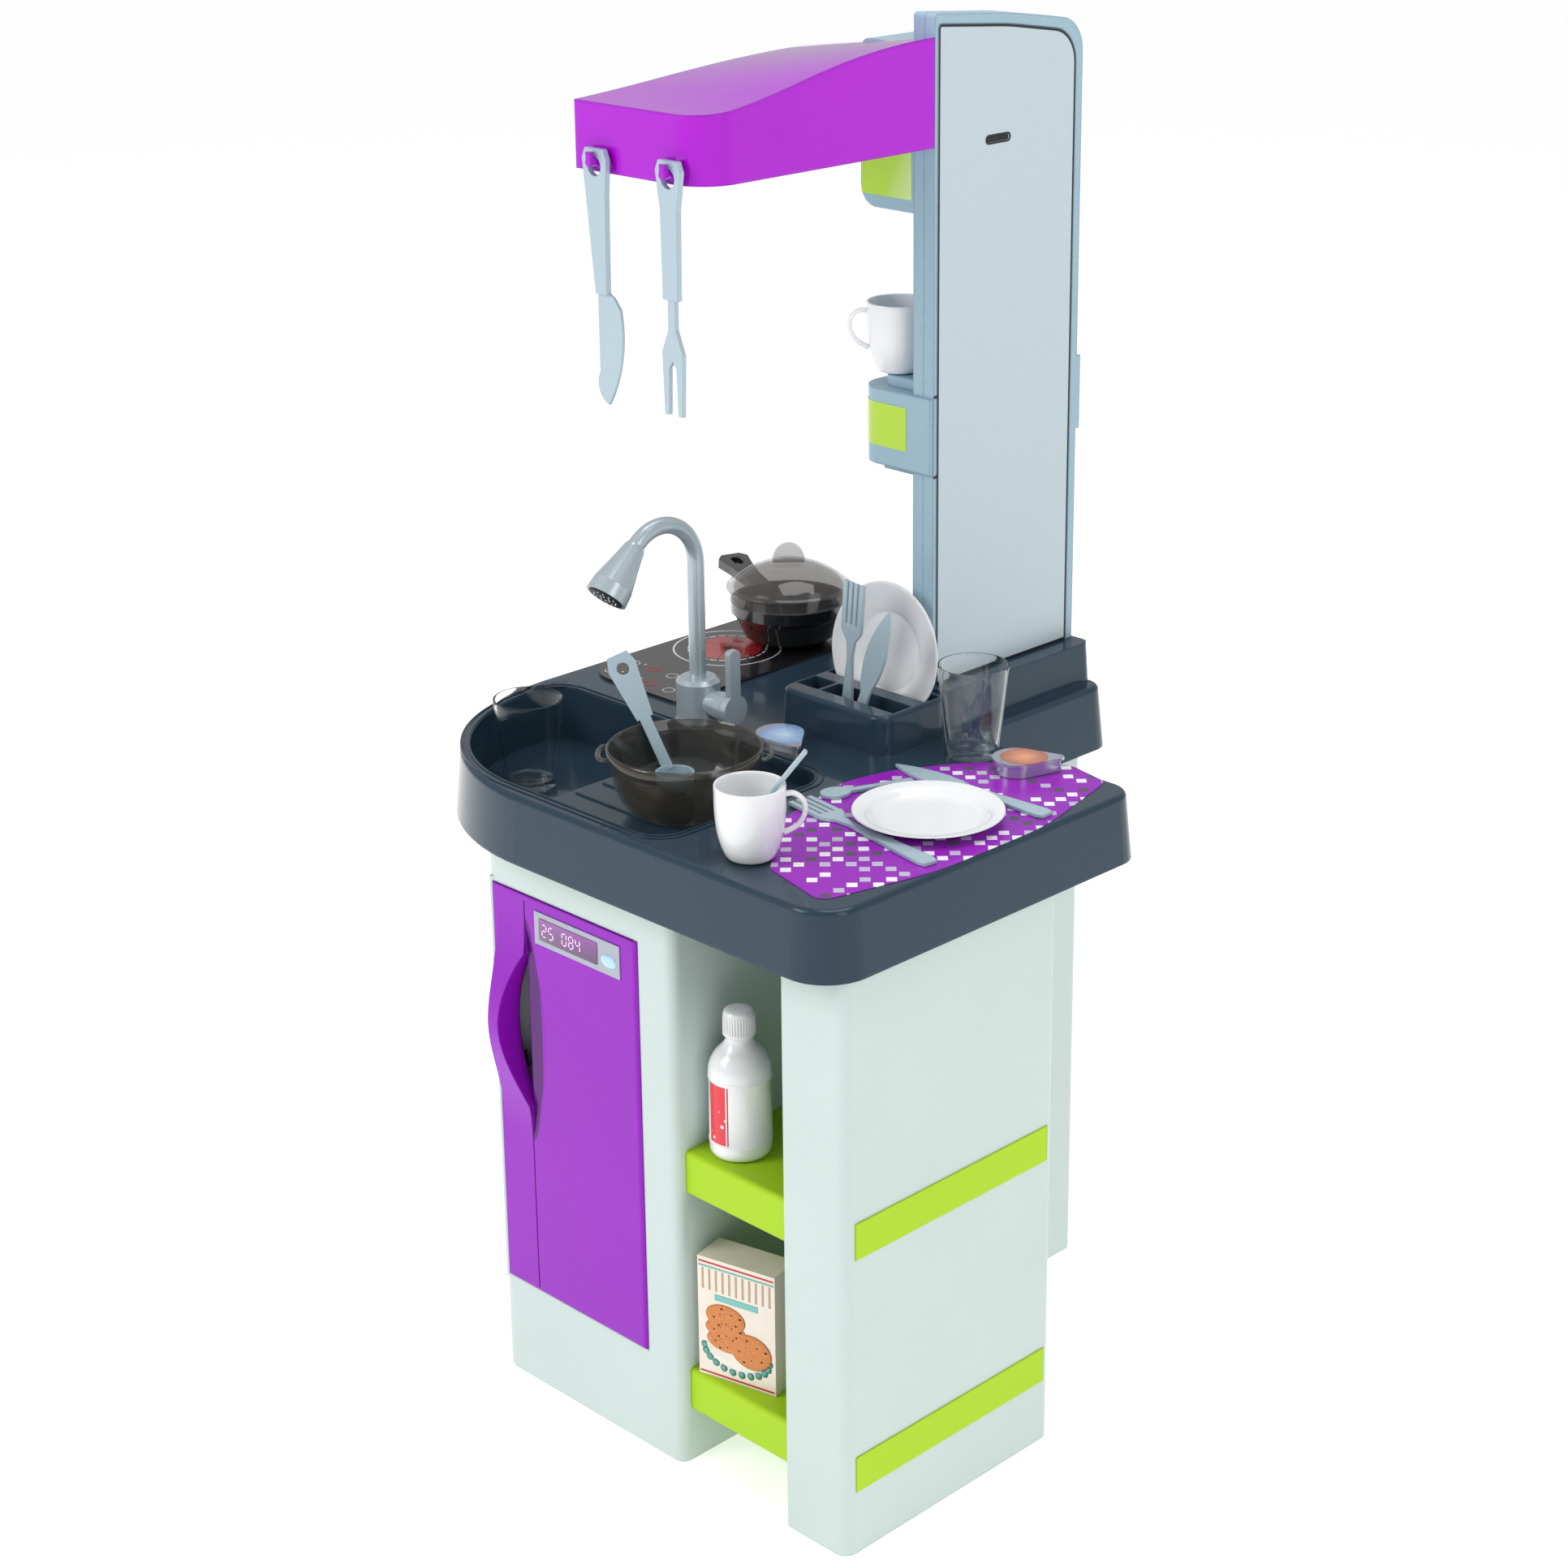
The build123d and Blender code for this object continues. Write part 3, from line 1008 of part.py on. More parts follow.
# Fork and knife standing in the cutlery slot, crossed one behind the other
slot_rest = cutlery_slot_floor + REST_GAP
FORK_LEAN = (0.085, 0, 0.996)
KNIFE_LEAN = (0.347, 0, 0.938)
HANDLE_END = 5.0  # half the width of a handle's end
with BuildPart() as holder_fork:
    with BuildSketch(Plane(origin=(slot_left + 34, cutlery_slot_y[0] + 16, slot_rest + HANDLE_END * FORK_LEAN[0]),
                           x_dir=FORK_LEAN, z_dir=(0, -1, 0))):
        fork_blank(FORK_LENGTH)
    extrude(amount=CUTLERY_THICKNESS)
save(holder_fork, "holder_fork")

with BuildPart() as holder_knife:
    with BuildSketch(Plane(origin=(slot_left + 41, cutlery_slot_y[0] + 8, slot_rest + HANDLE_END * KNIFE_LEAN[0]),
                           x_dir=KNIFE_LEAN, z_dir=(0, -1, 0))):
        knife_blank(KNIFE_LENGTH)
    extrude(amount=CUTLERY_THICKNESS)
save(holder_knife, "holder_knife")

# Teaspoon leaning on the table mug's rim, in the vertical plane of the mug's handle
spoon_lean = radians(51.8)
spoon_side = Vector(cos(radians(45)), sin(radians(45)), 0)
rim_inside = Vector(*table_mug_place) + spoon_side * (MUG_R - MUG_WALL) + Vector(0, 0, MUG_HEIGHT)
spoon_run = spoon_side * cos(spoon_lean) + Vector(0, 0, sin(spoon_lean))
spoon_normal = Vector(0, 0, cos(spoon_lean)) - spoon_side * sin(spoon_lean)
teaspoon_foot = rim_inside + spoon_normal * (CUTLERY_THICKNESS / 2 + REST_GAP + 0.5) - spoon_run * 56
with BuildPart() as teaspoon:
    with BuildSketch(Plane(origin=teaspoon_foot, x_dir=spoon_run, z_dir=spoon_normal)):
        spoon_blank(TEASPOON_LENGTH, 11)
    extrude(amount=CUTLERY_THICKNESS / 2, both=True)
save(teaspoon, "teaspoon")

# ================================================================ plates
PLATE_R = 52.5
PLATE_HEIGHT = 8.5
PLATE_PROFILE = [(0, 0), (30, 0), (34, 1.5), (PLATE_R, PLATE_HEIGHT - 1.5), (PLATE_R, PLATE_HEIGHT),
                 (PLATE_R - 1.5, PLATE_HEIGHT), (33, 3.5), (29, 2), (0, 2)]
table_plate = turned(PLATE_PROFILE, (right - 71.0, front + 170.0, mat_top))
save(table_plate, "table_plate")

PLATE_LEAN = radians(8)
plate_x = (slot_left + slot_right) / 2
plate_y = plate_slot_y[0] + 17.0
plate_z = plate_slot_floor + REST_GAP + 51.0
with BuildPart() as standing_plate:
    with BuildSketch(Plane(origin=(plate_x, plate_y, plate_z), x_dir=(1, 0, 0),
                           z_dir=(0, -sin(PLATE_LEAN), -cos(PLATE_LEAN)))):
        with BuildLine():
            Polyline(*PLATE_PROFILE, close=True)
        make_face()
    revolve(axis=Axis((plate_x, plate_y, plate_z), (0, -cos(PLATE_LEAN), sin(PLATE_LEAN))))
save(standing_plate, "standing_plate")

# ================================================================ coffee pods
POD_R = 17.5
POD_HEIGHT = 11.0
pods = (
    ("milk_pod", (notch_x - 88.0, sink_back + 21.0, top + REST_GAP), -22),
    ("chocolate_pod", (right - 88.0, table_back - 38.0, mat_top), 45),
)
for pod_name, pod_place, turn in pods:
    with BuildPart() as pod:
        for z, height, inset in ((0, POD_HEIGHT - 2, 2.5), (POD_HEIGHT - 2, 2, 0)):
            plane = Plane(origin=(pod_place[0], pod_place[1], pod_place[2] + z),
                          x_dir=(cos(radians(turn)), sin(radians(turn)), 0))
            with BuildSketch(plane):
                Circle(POD_R - inset)
                with Locations((POD_R + 12, 0)):
                    Circle(4 - inset)
                make_hull()
            extrude(amount=height)
    save(pod, pod_name)

# ================================================================ bottle and cookie box on the shelves
BOTTLE_R = 22.5
BOTTLE_WALL = 1.5
NECK_R = 9.5
bottle_place = (cabinet_right + 27.0, cabinet_front + 37.0, UPPER_SHELF_TOP + REST_GAP)
bottle = turned(
    [(0, 0), (20, 0), (BOTTLE_R, 3), (BOTTLE_R, 62), (20, 73), (14, 81), (NECK_R, 86), (NECK_R, 101),
     (NECK_R - BOTTLE_WALL, 101), (NECK_R - BOTTLE_WALL, 85), (12.5, 79.5), (18.7, 72),
     (BOTTLE_R - BOTTLE_WALL, 61.5), (BOTTLE_R - BOTTLE_WALL, 3.8), (19.5, BOTTLE_WALL), (0, BOTTLE_WALL)],
    bottle_place,
)
save(bottle, "bottle")

CAP_R = 12.0
bottle_cap = turned(
    [(NECK_R + REST_GAP, 0), (CAP_R, 0), (CAP_R, 16), (CAP_R - 3, 19), (0, 19), (0, 12), (NECK_R + REST_GAP, 12)],
    (bottle_place[0], bottle_place[1], bottle_place[2] + 101 - 12 + REST_GAP),
)
save(bottle_cap, "bottle_cap")

BOX_SIZE = (64.0, 28.0, 94.0)
CARTON = 1.2
box_turn = 13.4
box_place = (cabinet_right + 36.0, cabinet_front + 31.5, LOWER_SHELF_TOP + REST_GAP)
with BuildPart() as cookie_box:
    for grow, mode in ((0.0, Mode.ADD), (CARTON, Mode.SUBTRACT)):
        plane = Plane(origin=(box_place[0], box_place[1], box_place[2] + grow),
                      x_dir=(cos(radians(box_turn)), sin(radians(box_turn)), 0))
        with BuildSketch(plane):
            Rectangle(BOX_SIZE[0] - 2 * grow, BOX_SIZE[1] - 2 * grow)
        extrude(amount=BOX_SIZE[2] - 2 * grow, mode=mode)
save(cookie_box, "cookie_box")
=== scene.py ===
import math

import bmesh
import bpy
from mathutils import Matrix, Vector


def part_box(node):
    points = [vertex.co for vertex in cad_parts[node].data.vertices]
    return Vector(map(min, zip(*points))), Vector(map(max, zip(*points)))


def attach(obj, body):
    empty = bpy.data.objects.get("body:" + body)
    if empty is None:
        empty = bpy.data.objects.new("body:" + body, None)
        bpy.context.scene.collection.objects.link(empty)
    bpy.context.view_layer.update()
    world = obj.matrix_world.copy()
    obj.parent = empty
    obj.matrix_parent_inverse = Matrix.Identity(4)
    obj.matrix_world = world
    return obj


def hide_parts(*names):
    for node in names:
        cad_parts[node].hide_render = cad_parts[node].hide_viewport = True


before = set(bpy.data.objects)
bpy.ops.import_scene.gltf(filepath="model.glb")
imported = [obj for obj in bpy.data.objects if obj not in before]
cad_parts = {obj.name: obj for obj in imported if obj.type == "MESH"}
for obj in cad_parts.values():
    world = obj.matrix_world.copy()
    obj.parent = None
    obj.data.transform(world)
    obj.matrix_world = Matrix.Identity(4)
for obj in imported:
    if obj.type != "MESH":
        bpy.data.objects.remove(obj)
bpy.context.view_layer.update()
MM = 0.001


# ---- Cabinet, column and niche ----
# The lower body is off-white moulded plastic: a cabinet and a column with an open niche between them,
# and a panel behind each. The skin has a faint orange peel from the mould, and a soft satin gloss.

class Field:
    """A number that varies over a surface. Arithmetic on it adds Math nodes."""

    def __init__(self, finish, socket):
        self.finish = finish
        self.socket = socket

    def math(self, operation, *values):
        node = self.finish.node("Math", {"operation": operation}, dict(enumerate(values)))
        return Field(self.finish, node.outputs[0])

    def __add__(self, other):
        return self.math("ADD", self, other)

    def __radd__(self, other):
        return self.math("ADD", other, self)

    def __sub__(self, other):
        return self.math("SUBTRACT", self, other)

    def __rsub__(self, other):
        return self.math("SUBTRACT", other, self)

    def __mul__(self, other):
        return self.math("MULTIPLY", self, other)

    def __rmul__(self, other):
        return self.math("MULTIPLY", other, self)

    def __truediv__(self, other):
        return self.math("DIVIDE", self, other)

    def __pow__(self, other):
        return self.math("POWER", self, other)

    def __gt__(self, other):
        return self.math("GREATER_THAN", self, other)

    def __lt__(self, other):
        return self.math("LESS_THAN", self, other)

    def __mod__(self, other):
        return self.math("FLOORED_MODULO", self, other)

    def __abs__(self):
        return self.math("ABSOLUTE", self)

    def root(self):
        return self.math("SQRT", self)


class Finish:
    """A material and its nodes, with one Principled shader."""

    def __init__(self, name, colour, roughness, **sockets):
        self.material = bpy.data.materials.new(name)
        self.material.use_nodes = True
        self.tree = self.material.node_tree
        self.shader = self.tree.nodes["Principled BSDF"]
        self.set("Base Color", (*colour, 1))
        self.set("Roughness", roughness)
        for socket, value in sockets.items():
            self.set(socket.replace("_", " "), value)
        self.place = self.node("TexCoord").outputs["Object"]

    def node(self, kind, settings=None, inputs=None):
        node = self.tree.nodes.new("ShaderNode" + kind)
        for key, value in (settings or {}).items():
            if key == "stops":
                ramp = node.color_ramp.elements
                for i, (position, colour) in enumerate(value):
                    stop = ramp[i] if i < len(ramp) else ramp.new(position)
                    stop.position = position
                    stop.color = (*colour, 1)
            else:
                setattr(node, key, value)
        for socket, value in (inputs or {}).items():
            self.join(node.inputs[socket], value)
        return node

    def join(self, socket, value):
        if isinstance(value, Field):
            value = value.socket
        if isinstance(value, bpy.types.NodeSocket):
            self.tree.links.new(value, socket)
        else:
            socket.default_value = value

    def set(self, name, value):
        self.join(self.shader.inputs[name], value)

    def axes(self):
        """The place on the object, in metres, as three fields."""
        parts = self.node("SeparateXYZ", None, {0: self.place})
        return [Field(self, parts.outputs[i]) for i in range(3)]

    def noise(self, scale, detail=3.0, roughness=0.5):
        node = self.node("TexNoise", None, {"Vector": self.place, "Scale": scale, "Detail": detail,
                                            "Roughness": roughness})
        return Field(self, node.outputs["Fac"])

    def mix(self, factor, low, high):
        node = self.node("Mix", {"data_type": "RGBA"}, {0: factor, 6: low, 7: high})
        return node.outputs[2]

    def bump(self, height, distance, strength=1.0, edge=0.0):
        """Raises the surface by a field, and rounds the light along edges where a radius is given."""
        node = self.node("Bump", None, {"Height": height, "Distance": distance, "Strength": strength})
        if edge:
            soft = self.node("Bevel", {"samples": 6}, {"Radius": edge})
            self.join(node.inputs["Normal"], soft.outputs["Normal"])
        self.set("Normal", node.outputs["Normal"])


def shade(colour, factor):
    return tuple(min(c * factor, 1) for c in colour[:3]) + (1,)


def moulded(name, colour, roughness, peel=0.000008, edge=0.0012, **sockets):
    """Moulded plastic: a slow drift of tone, a fine mould texture, rubbed patches and soft edges."""
    finish = Finish(name, colour, roughness, **sockets)
    drift = finish.noise(9.0, 2.0)
    finish.set("Base Color", finish.mix(drift, shade(colour, 0.96), shade(colour, 1.04)))
    rubbed = finish.noise(38.0, 4.0, 0.6)
    finish.set("Roughness", roughness * 0.8 + rubbed * (roughness * 0.4))
    finish.bump(finish.noise(420.0, 2.0) + finish.noise(60.0, 1.0) * 2.0, peel, edge=edge)
    return finish


def dress(finish, *names):
    """Gives CAD nodes a finish."""
    for name in names:
        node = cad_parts[name]
        if not node.material_slots:
            node.data.materials.append(None)
        for slot in node.material_slots:
            slot.material = finish.material


off_white = moulded("off_white_plastic", (0.58, 0.68, 0.65), 0.34, edge=0.003, Specular_IOR_Level=0.3)
dress(off_white, "left_cabinet", "right_column", "niche_back_panel", "cabinet_back_panel")


# ---- Fridge compartment ----
# A white tray moulding behind the fridge door, with one shelf between its walls.
# The shelf is clear plastic, and the glasses on the worktop share its finish.

liner_white = moulded("liner_white", (0.82, 0.85, 0.86), 0.28)
dress(liner_white, "fridge_liner")
clear = Finish("clear_plastic", (0.99, 1.0, 0.995), 0.03, Transmission_Weight=1.0, IOR=1.07, Coat_Weight=0.6)
clear.set("Roughness", 0.02 + clear.noise(70.0) * 0.03)
clear.bump(clear.noise(26.0, 2.0), 0.0002, 0.5)
dress(clear, "fridge_shelf")


# ---- Oven compartment ----
# A black tray moulding under the hob, with a silver painted rack on its side ledges.
# The screws and the hinge pins of both doors are steel, and their finish is set here too.

oven_black = moulded("oven_black", (0.02, 0.021, 0.024), 0.38)
dress(oven_black, "oven_liner")
silver = Finish("silver_paint", (0.48, 0.56, 0.60), 0.28, Metallic=0.4, Coat_Weight=0.5, Coat_Roughness=0.1)
flake = silver.noise(1500.0, 1.0)
silver.set("Base Color", silver.mix(flake, (0.45, 0.53, 0.57, 1), (0.52, 0.60, 0.64, 1)))
silver.set("Roughness", 0.24 + silver.noise(45.0, 4.0) * 0.14)
silver.bump(silver.noise(700.0, 2.0), 0.00004)
dress(silver, "oven_rack")
steel = Finish("screw_steel", (0.55, 0.55, 0.57), 0.3, Metallic=1.0)
steel.set("Roughness", 0.22 + steel.noise(240.0) * 0.2)
dress(steel, "back_panel_screws", "fridge_hinge_pins", "oven_hinge_pins")


# ---- Shelves and side stripes ----
# Two lime shelves are deep trays that slot between the cabinet and the column.
# The stripes are self-adhesive film on the column's outer face.

lime = moulded("lime_plastic", (0.40, 0.66, 0.012), 0.30, edge=0.002, Specular_IOR_Level=0.2)
dress(lime, "upper_shelf", "lower_shelf")
lime_film = moulded("lime_film", (0.42, 0.68, 0.014), 0.42, Specular_IOR_Level=0.2)
dress(lime_film, "side_stripes")


# ---- Worktop ----
# One slate moulding makes the deck, the sink, the cutlery holder and the tower's foot.
# Two rolled beads run round the sink's edge.

slate = moulded("slate_plastic", (0.023, 0.047, 0.071), 0.22, edge=0.0025, Specular_IOR_Level=0.1,
                Coat_Weight=0.8,
                Coat_Roughness=0.06, Coat_IOR=1.3)
dress(slate, "worktop")


def finished(mesh, name, finish, body, angle=35.0):
    """Turns a bmesh into a piece that rides on a body."""
    bmesh.ops.remove_doubles(mesh, verts=mesh.verts, dist=1e-6)
    bmesh.ops.recalc_face_normals(mesh, faces=mesh.faces)
    data = bpy.data.meshes.new(name)
    mesh.to_mesh(data)
    mesh.free()
    data.shade_smooth()
    data.set_sharp_from_angle(angle=math.radians(angle))
    data.materials.append(finish.material)
    piece = bpy.data.objects.new(name, data)
    bpy.context.scene.collection.objects.link(piece)
    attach(piece, body)
    return piece


def rounded_rectangle(mesh, low, high, radii, segments=8):
    """A flat face in z 0. Corner radii run front left, front right, back right, back left."""
    corners = [(low[0], low[1]), (high[0], low[1]), (high[0], high[1]), (low[0], high[1])]
    points = [mesh.verts.new((x, y, 0)) for x, y in corners]
    mesh.faces.new(points)
    for point, radius in zip(points, radii):
        if radius:
            bmesh.ops.bevel(mesh, geom=[point], offset=radius, segments=segments, profile=0.5,
                            affect="VERTICES", offset_type="OFFSET", material=-1)
    return mesh.faces[:]


def raise_faces(mesh, faces, height, soft=0.0):
    """Pulls flat faces up into a plate, with an eased top edge."""
    pulled = bmesh.ops.extrude_face_region(mesh, geom=faces)["geom"]
    tops = [g for g in pulled if isinstance(g, bmesh.types.BMFace)]
    lifted = [g for g in pulled if isinstance(g, bmesh.types.BMVert)]
    bmesh.ops.translate(mesh, verts=lifted, vec=(0, 0, height))
    if soft:
        rim = [e for e in mesh.edges if sum(f in tops for f in e.link_faces) == 1]
        bmesh.ops.bevel(mesh, geom=rim, offset=soft, segments=3, profile=0.5, affect="EDGES", material=-1)
    return tops


worktop_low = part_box("worktop")[0]
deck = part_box("placemat")[0].z
SINK = (Vector((worktop_low.x + 22 * MM, worktop_low.y + 20 * MM)),
        Vector((worktop_low.x + 310 * MM, worktop_low.y + 180 * MM)))
SINK_RADII = (138 * MM, 22 * MM, 22 * MM, 22 * MM)
BEAD_GAPS = (2.5 * MM, 7.5 * MM)
BEAD_WIDTH = 1.8 * MM
for number, gap in enumerate(BEAD_GAPS):
    bead = bmesh.new()
    rounded_rectangle(bead, SINK[0] - Vector((gap, gap)), SINK[1] + Vector((gap, gap)),
                      [radius + gap for radius in SINK_RADII], 20)
    inner = bead.faces[:]
    bmesh.ops.inset_region(bead, faces=inner, thickness=BEAD_WIDTH, use_boundary=True, use_even_offset=True)
    bmesh.ops.delete(bead, geom=inner, context="FACES")
    raise_faces(bead, bead.faces[:], 0.9 * MM, 0.6 * MM)
    bmesh.ops.translate(bead, verts=bead.verts, vec=(0, 0, deck))
    finished(bead, f"sink_bead_{number}", slate, "kitchen")


# ---- Hob ----
# A black gloss plate with two printed burners: a red glowing disc, dark heating coils and a dashed scale.
# The touch symbols at its front end are thin pieces of ink.

HOB_BURNERS = ((0.42, 0.49, 44 * MM), (0.55, 0.82, 32 * MM))
hob_low, hob_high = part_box("hob_plate")
hob = Finish("hob_print", (0.010, 0.011, 0.013), 0.12, Coat_Weight=0.6, Coat_Roughness=0.05)
x, y, z = hob.axes()
printed = (0.012, 0.012, 0.015, 1)
for share_x, share_y, reach in HOB_BURNERS:
    centre_x = hob_low.x + share_x * (hob_high.x - hob_low.x)
    centre_y = hob_low.y + share_y * (hob_high.y - hob_low.y)
    dx, dy = x - centre_x, y - centre_y
    away = (dx * dx + dy * dy).root() / reach
    turn = dy.math("ARCTAN2", dy, dx)
    disc = away < 0.62
    hub = away > 0.085
    coils = ((away * 22.0) % 1.0) > 0.38
    spokes = abs((turn * (3 / math.pi)) % 1.0 - 0.5) < 0.47
    glow = disc * hub * (coils * 0.8 + 0.2) * spokes
    dashes = (abs(away - 0.70) < 0.018) * (((turn * (12 / math.pi)) % 1.0) > 0.25)
    circle = abs(away - 0.97) < 0.016
    printed = hob.mix(glow, printed, (0.62, 0.018, 0.022, 1))
    printed = hob.mix(dashes + circle, printed, (0.72, 0.72, 0.74, 1))
top_face = z > hob_high.z - 0.2 * MM
hob.set("Base Color", hob.mix(top_face, (0.012, 0.012, 0.015, 1), printed))
hob.set("Roughness", 0.08 + hob.noise(60.0, 3.0) * 0.08)
dress(hob, "hob_plate")

# Printed touch symbols at the plate's front end, as thin ink.
ink_white = moulded("ink_white", (0.75, 0.75, 0.77), 0.4)
ink_red = moulded("ink_red", (0.70, 0.02, 0.03), 0.4)
INK = 0.15 * MM
white_marks = bmesh.new()
red_marks = bmesh.new()


def ring_mark(mesh, centre, outer, width):
    """A flat ring, or a dot where the width is nought."""
    made = bmesh.ops.create_circle(mesh, cap_ends=True, radius=outer, segments=24,
                                   matrix=Matrix.Translation((*centre, 0)))["verts"]
    face = [f for f in mesh.faces if all(v in made for v in f.verts)]
    if width:
        bmesh.ops.inset_region(mesh, faces=face, thickness=width, use_boundary=True)
        bmesh.ops.delete(mesh, geom=face, context="FACES")


for column in range(4):
    for row in range(2):
        at = (hob_low.x + (20 + 22 * column) * MM, hob_low.y + (14 + 24 * row) * MM)
        target = red_marks if (column, row) in ((1, 1), (2, 0)) else white_marks
        ring_mark(target, at, 5.0 * MM, 0.8 * MM)
        ring_mark(target, (at[0] + 9 * MM, at[1] + 4 * MM), 1.1 * MM, 0)
for mesh, name, ink in ((white_marks, "hob_symbols_white", ink_white),
                        (red_marks, "hob_symbols_red", ink_red)):
    raise_faces(mesh, mesh.faces[:], INK)
    bmesh.ops.translate(mesh, verts=mesh.verts, vec=(0, 0, hob_high.z))
    finished(mesh, name, ink, "kitchen")


# ---- Placemat ----
# A printed film on the table end: purple, with scattered white, grey and dark squares.
# The squares stand corner to corner, in rows at 45 degrees to the table's sides.

mat = Finish("printed_mat", (0.34, 0.015, 0.50), 0.30, Specular_IOR_Level=0.2, Coat_Weight=0.15,
             Coat_Roughness=0.15)
CELL = 8.6 * MM
MARGIN = 0.09
x, y = mat.axes()[:2]
across = (x + y) * (0.7071 / CELL)
along = (y - x) * (0.7071 / CELL)
column, row = across.math("FLOOR", across), along.math("FLOOR", along)
cell = mat.node("CombineXYZ", None, {0: column, 1: row})
chance_node = mat.node("TexWhiteNoise", {"noise_dimensions": "2D"}, {"Vector": cell.outputs[0]})
chance = Field(mat, chance_node.outputs["Value"])
inside = ((column + row) % 2.0) > 0.5
for spread in (across % 1.0, along % 1.0):
    inside = inside * (spread > MARGIN) * (spread < 1.0 - MARGIN)
purple_ink = (0.30, 0.010, 0.47, 1)
squares = mat.node("ValToRGB", {"stops": ((0.0, (0.85, 0.85, 0.88)), (0.30, (0.52, 0.50, 0.62)),
                                          (0.50, (0.09, 0.07, 0.11)), (0.66, purple_ink[:3]))}, {0: chance})
squares.color_ramp.interpolation = "CONSTANT"
mat.set("Base Color", mat.mix(inside, purple_ink, squares.outputs[0]))
mat.set("Roughness", 0.24 + mat.noise(80.0) * 0.12)
dress(mat, "placemat")


# ---- Faucet ----
# Silver painted mouldings: a round foot, a bent spout that swivels with a spray head, and a paddle lever.
# The spray face is a dark disc with two rings of nozzles, set in the mouth of the head.

dress(silver, "faucet_base", "faucet_spout", "faucet_lever", "oven_handle")
# One dark finish: the spray face's own dark plastic, and the painted shade in the tower's gap, slot and
# notches.
dark_and_painted_shade = moulded("dark_and_painted_shade", (0.012, 0.013, 0.015), 0.5)
MOUTH = Vector((-88.0, -123.7, 596.3)) * MM
SPRAY = Vector((0, -0.68, -0.73)).normalized()
facing_spray = Matrix.Translation(MOUTH) @ SPRAY.to_track_quat("Z", "Y").to_matrix().to_4x4()
spray_face = bmesh.new()
bmesh.ops.create_circle(spray_face, cap_ends=True, radius=13.5 * MM, segments=40)
raise_faces(spray_face, spray_face.faces[:], 0.5 * MM, 0.3 * MM)
bmesh.ops.transform(spray_face, verts=spray_face.verts, matrix=facing_spray)
finished(spray_face, "spray_face", dark_and_painted_shade, "faucet_spout")
nozzles = bmesh.new()
for ring_radius, count in ((4.0 * MM, 6), (9.0 * MM, 12)):
    for index in range(count):
        turn = 2 * math.pi * index / count
        bmesh.ops.create_uvsphere(nozzles, u_segments=10, v_segments=6, radius=0.8 * MM,
                                  matrix=Matrix.Translation((ring_radius * math.cos(turn),
                                                             ring_radius * math.sin(turn), 0.5 * MM)))
bmesh.ops.transform(nozzles, verts=nozzles.verts, matrix=facing_spray)
finished(nozzles, "spray_nozzles", silver, "faucet_spout")


# ---- Fridge door ----
# Gloss purple, with a bowed grip at its free side and painted shade in the scoop behind the grip.
# Its display is let in at the top.

PURPLE = (0.29, 0.007, 0.50)
door_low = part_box("fridge_door")[0]
purple_door = moulded("purple_door", PURPLE, 0.24, edge=0.002, Specular_IOR_Level=0.1, Coat_Weight=0.7,
                      Coat_Roughness=0.06, Coat_IOR=1.3)
x, _, z = purple_door.axes()
# Painted shade: an oval behind the grip is darkened to a third of the purple, where the scoop lies in shadow.
scoop_shade_x = (x - (door_low.x + 35 * MM)) / (13 * MM)
scoop_shade_z = (z - (door_low.z + 212 * MM)) / (88 * MM)
scoop_shade = (scoop_shade_x * scoop_shade_x + scoop_shade_z * scoop_shade_z) < 1.0
scoop_shade = scoop_shade * (x > door_low.x + 35 * MM)
drift = purple_door.mix(purple_door.noise(9.0, 2.0), shade(PURPLE, 0.93), shade(PURPLE, 1.06))
purple_door.set("Base Color", purple_door.mix(scoop_shade, drift, shade(PURPLE, 0.32)))
dress(purple_door, "fridge_door")

# Display: a brushed silver bezel with a violet screen, plain segment numbers with a faint painted glow, and a
# pale oval button.
bezel = Finish("display_bezel", (0.36, 0.40, 0.46), 0.35, Metallic=0.6)
brush = bezel.node("Mapping", {"vector_type": "POINT"}, {"Vector": bezel.place, "Scale": (12.0, 12.0, 900.0)})
grain = Field(bezel, bezel.node("TexNoise", None, {"Vector": brush.outputs[0], "Scale": 4.0}).outputs["Fac"])
bezel.set("Base Color", bezel.mix(grain, (0.28, 0.31, 0.36, 1), (0.48, 0.52, 0.58, 1)))
bezel.set("Roughness", 0.28 + grain * 0.2)
dress(bezel, "fridge_display")
display_low, display_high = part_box("fridge_display")
screen_violet = Finish("screen_violet", (0.10, 0.008, 0.12), 0.08, Coat_Weight=1.0)
z = screen_violet.axes()[2]
rise = (z - display_low.z) / (display_high.z - display_low.z)
screen_violet.set("Base Color", screen_violet.mix(rise ** 2.0, (0.07, 0.004, 0.10, 1), (0.34, 0.04, 0.42, 1)))
# The segment numbers are given a faint glow: painted light.
painted_glow_pink = Finish("painted_glow_segments", (0.9, 0.55, 0.9), 0.4, Emission_Strength=0.35)
painted_glow_pink.set("Emission Color", painted_glow_pink.mix(painted_glow_pink.noise(90.0), (0.85, 0.45, 0.9, 1), (1.0, 0.7, 1.0, 1)))
pale_blue = moulded("button_blue", (0.42, 0.68, 0.85), 0.2, Coat_Weight=0.8)

TO_FRONT = Matrix.Rotation(math.radians(90), 4, "X")    # stands a flat piece up, facing -Y


def on_front(mesh, y):
    """Stands a flat piece up so that it faces -Y at that depth."""
    bmesh.ops.transform(mesh, verts=mesh.verts, matrix=Matrix.Translation((0, y, 0)) @ TO_FRONT)


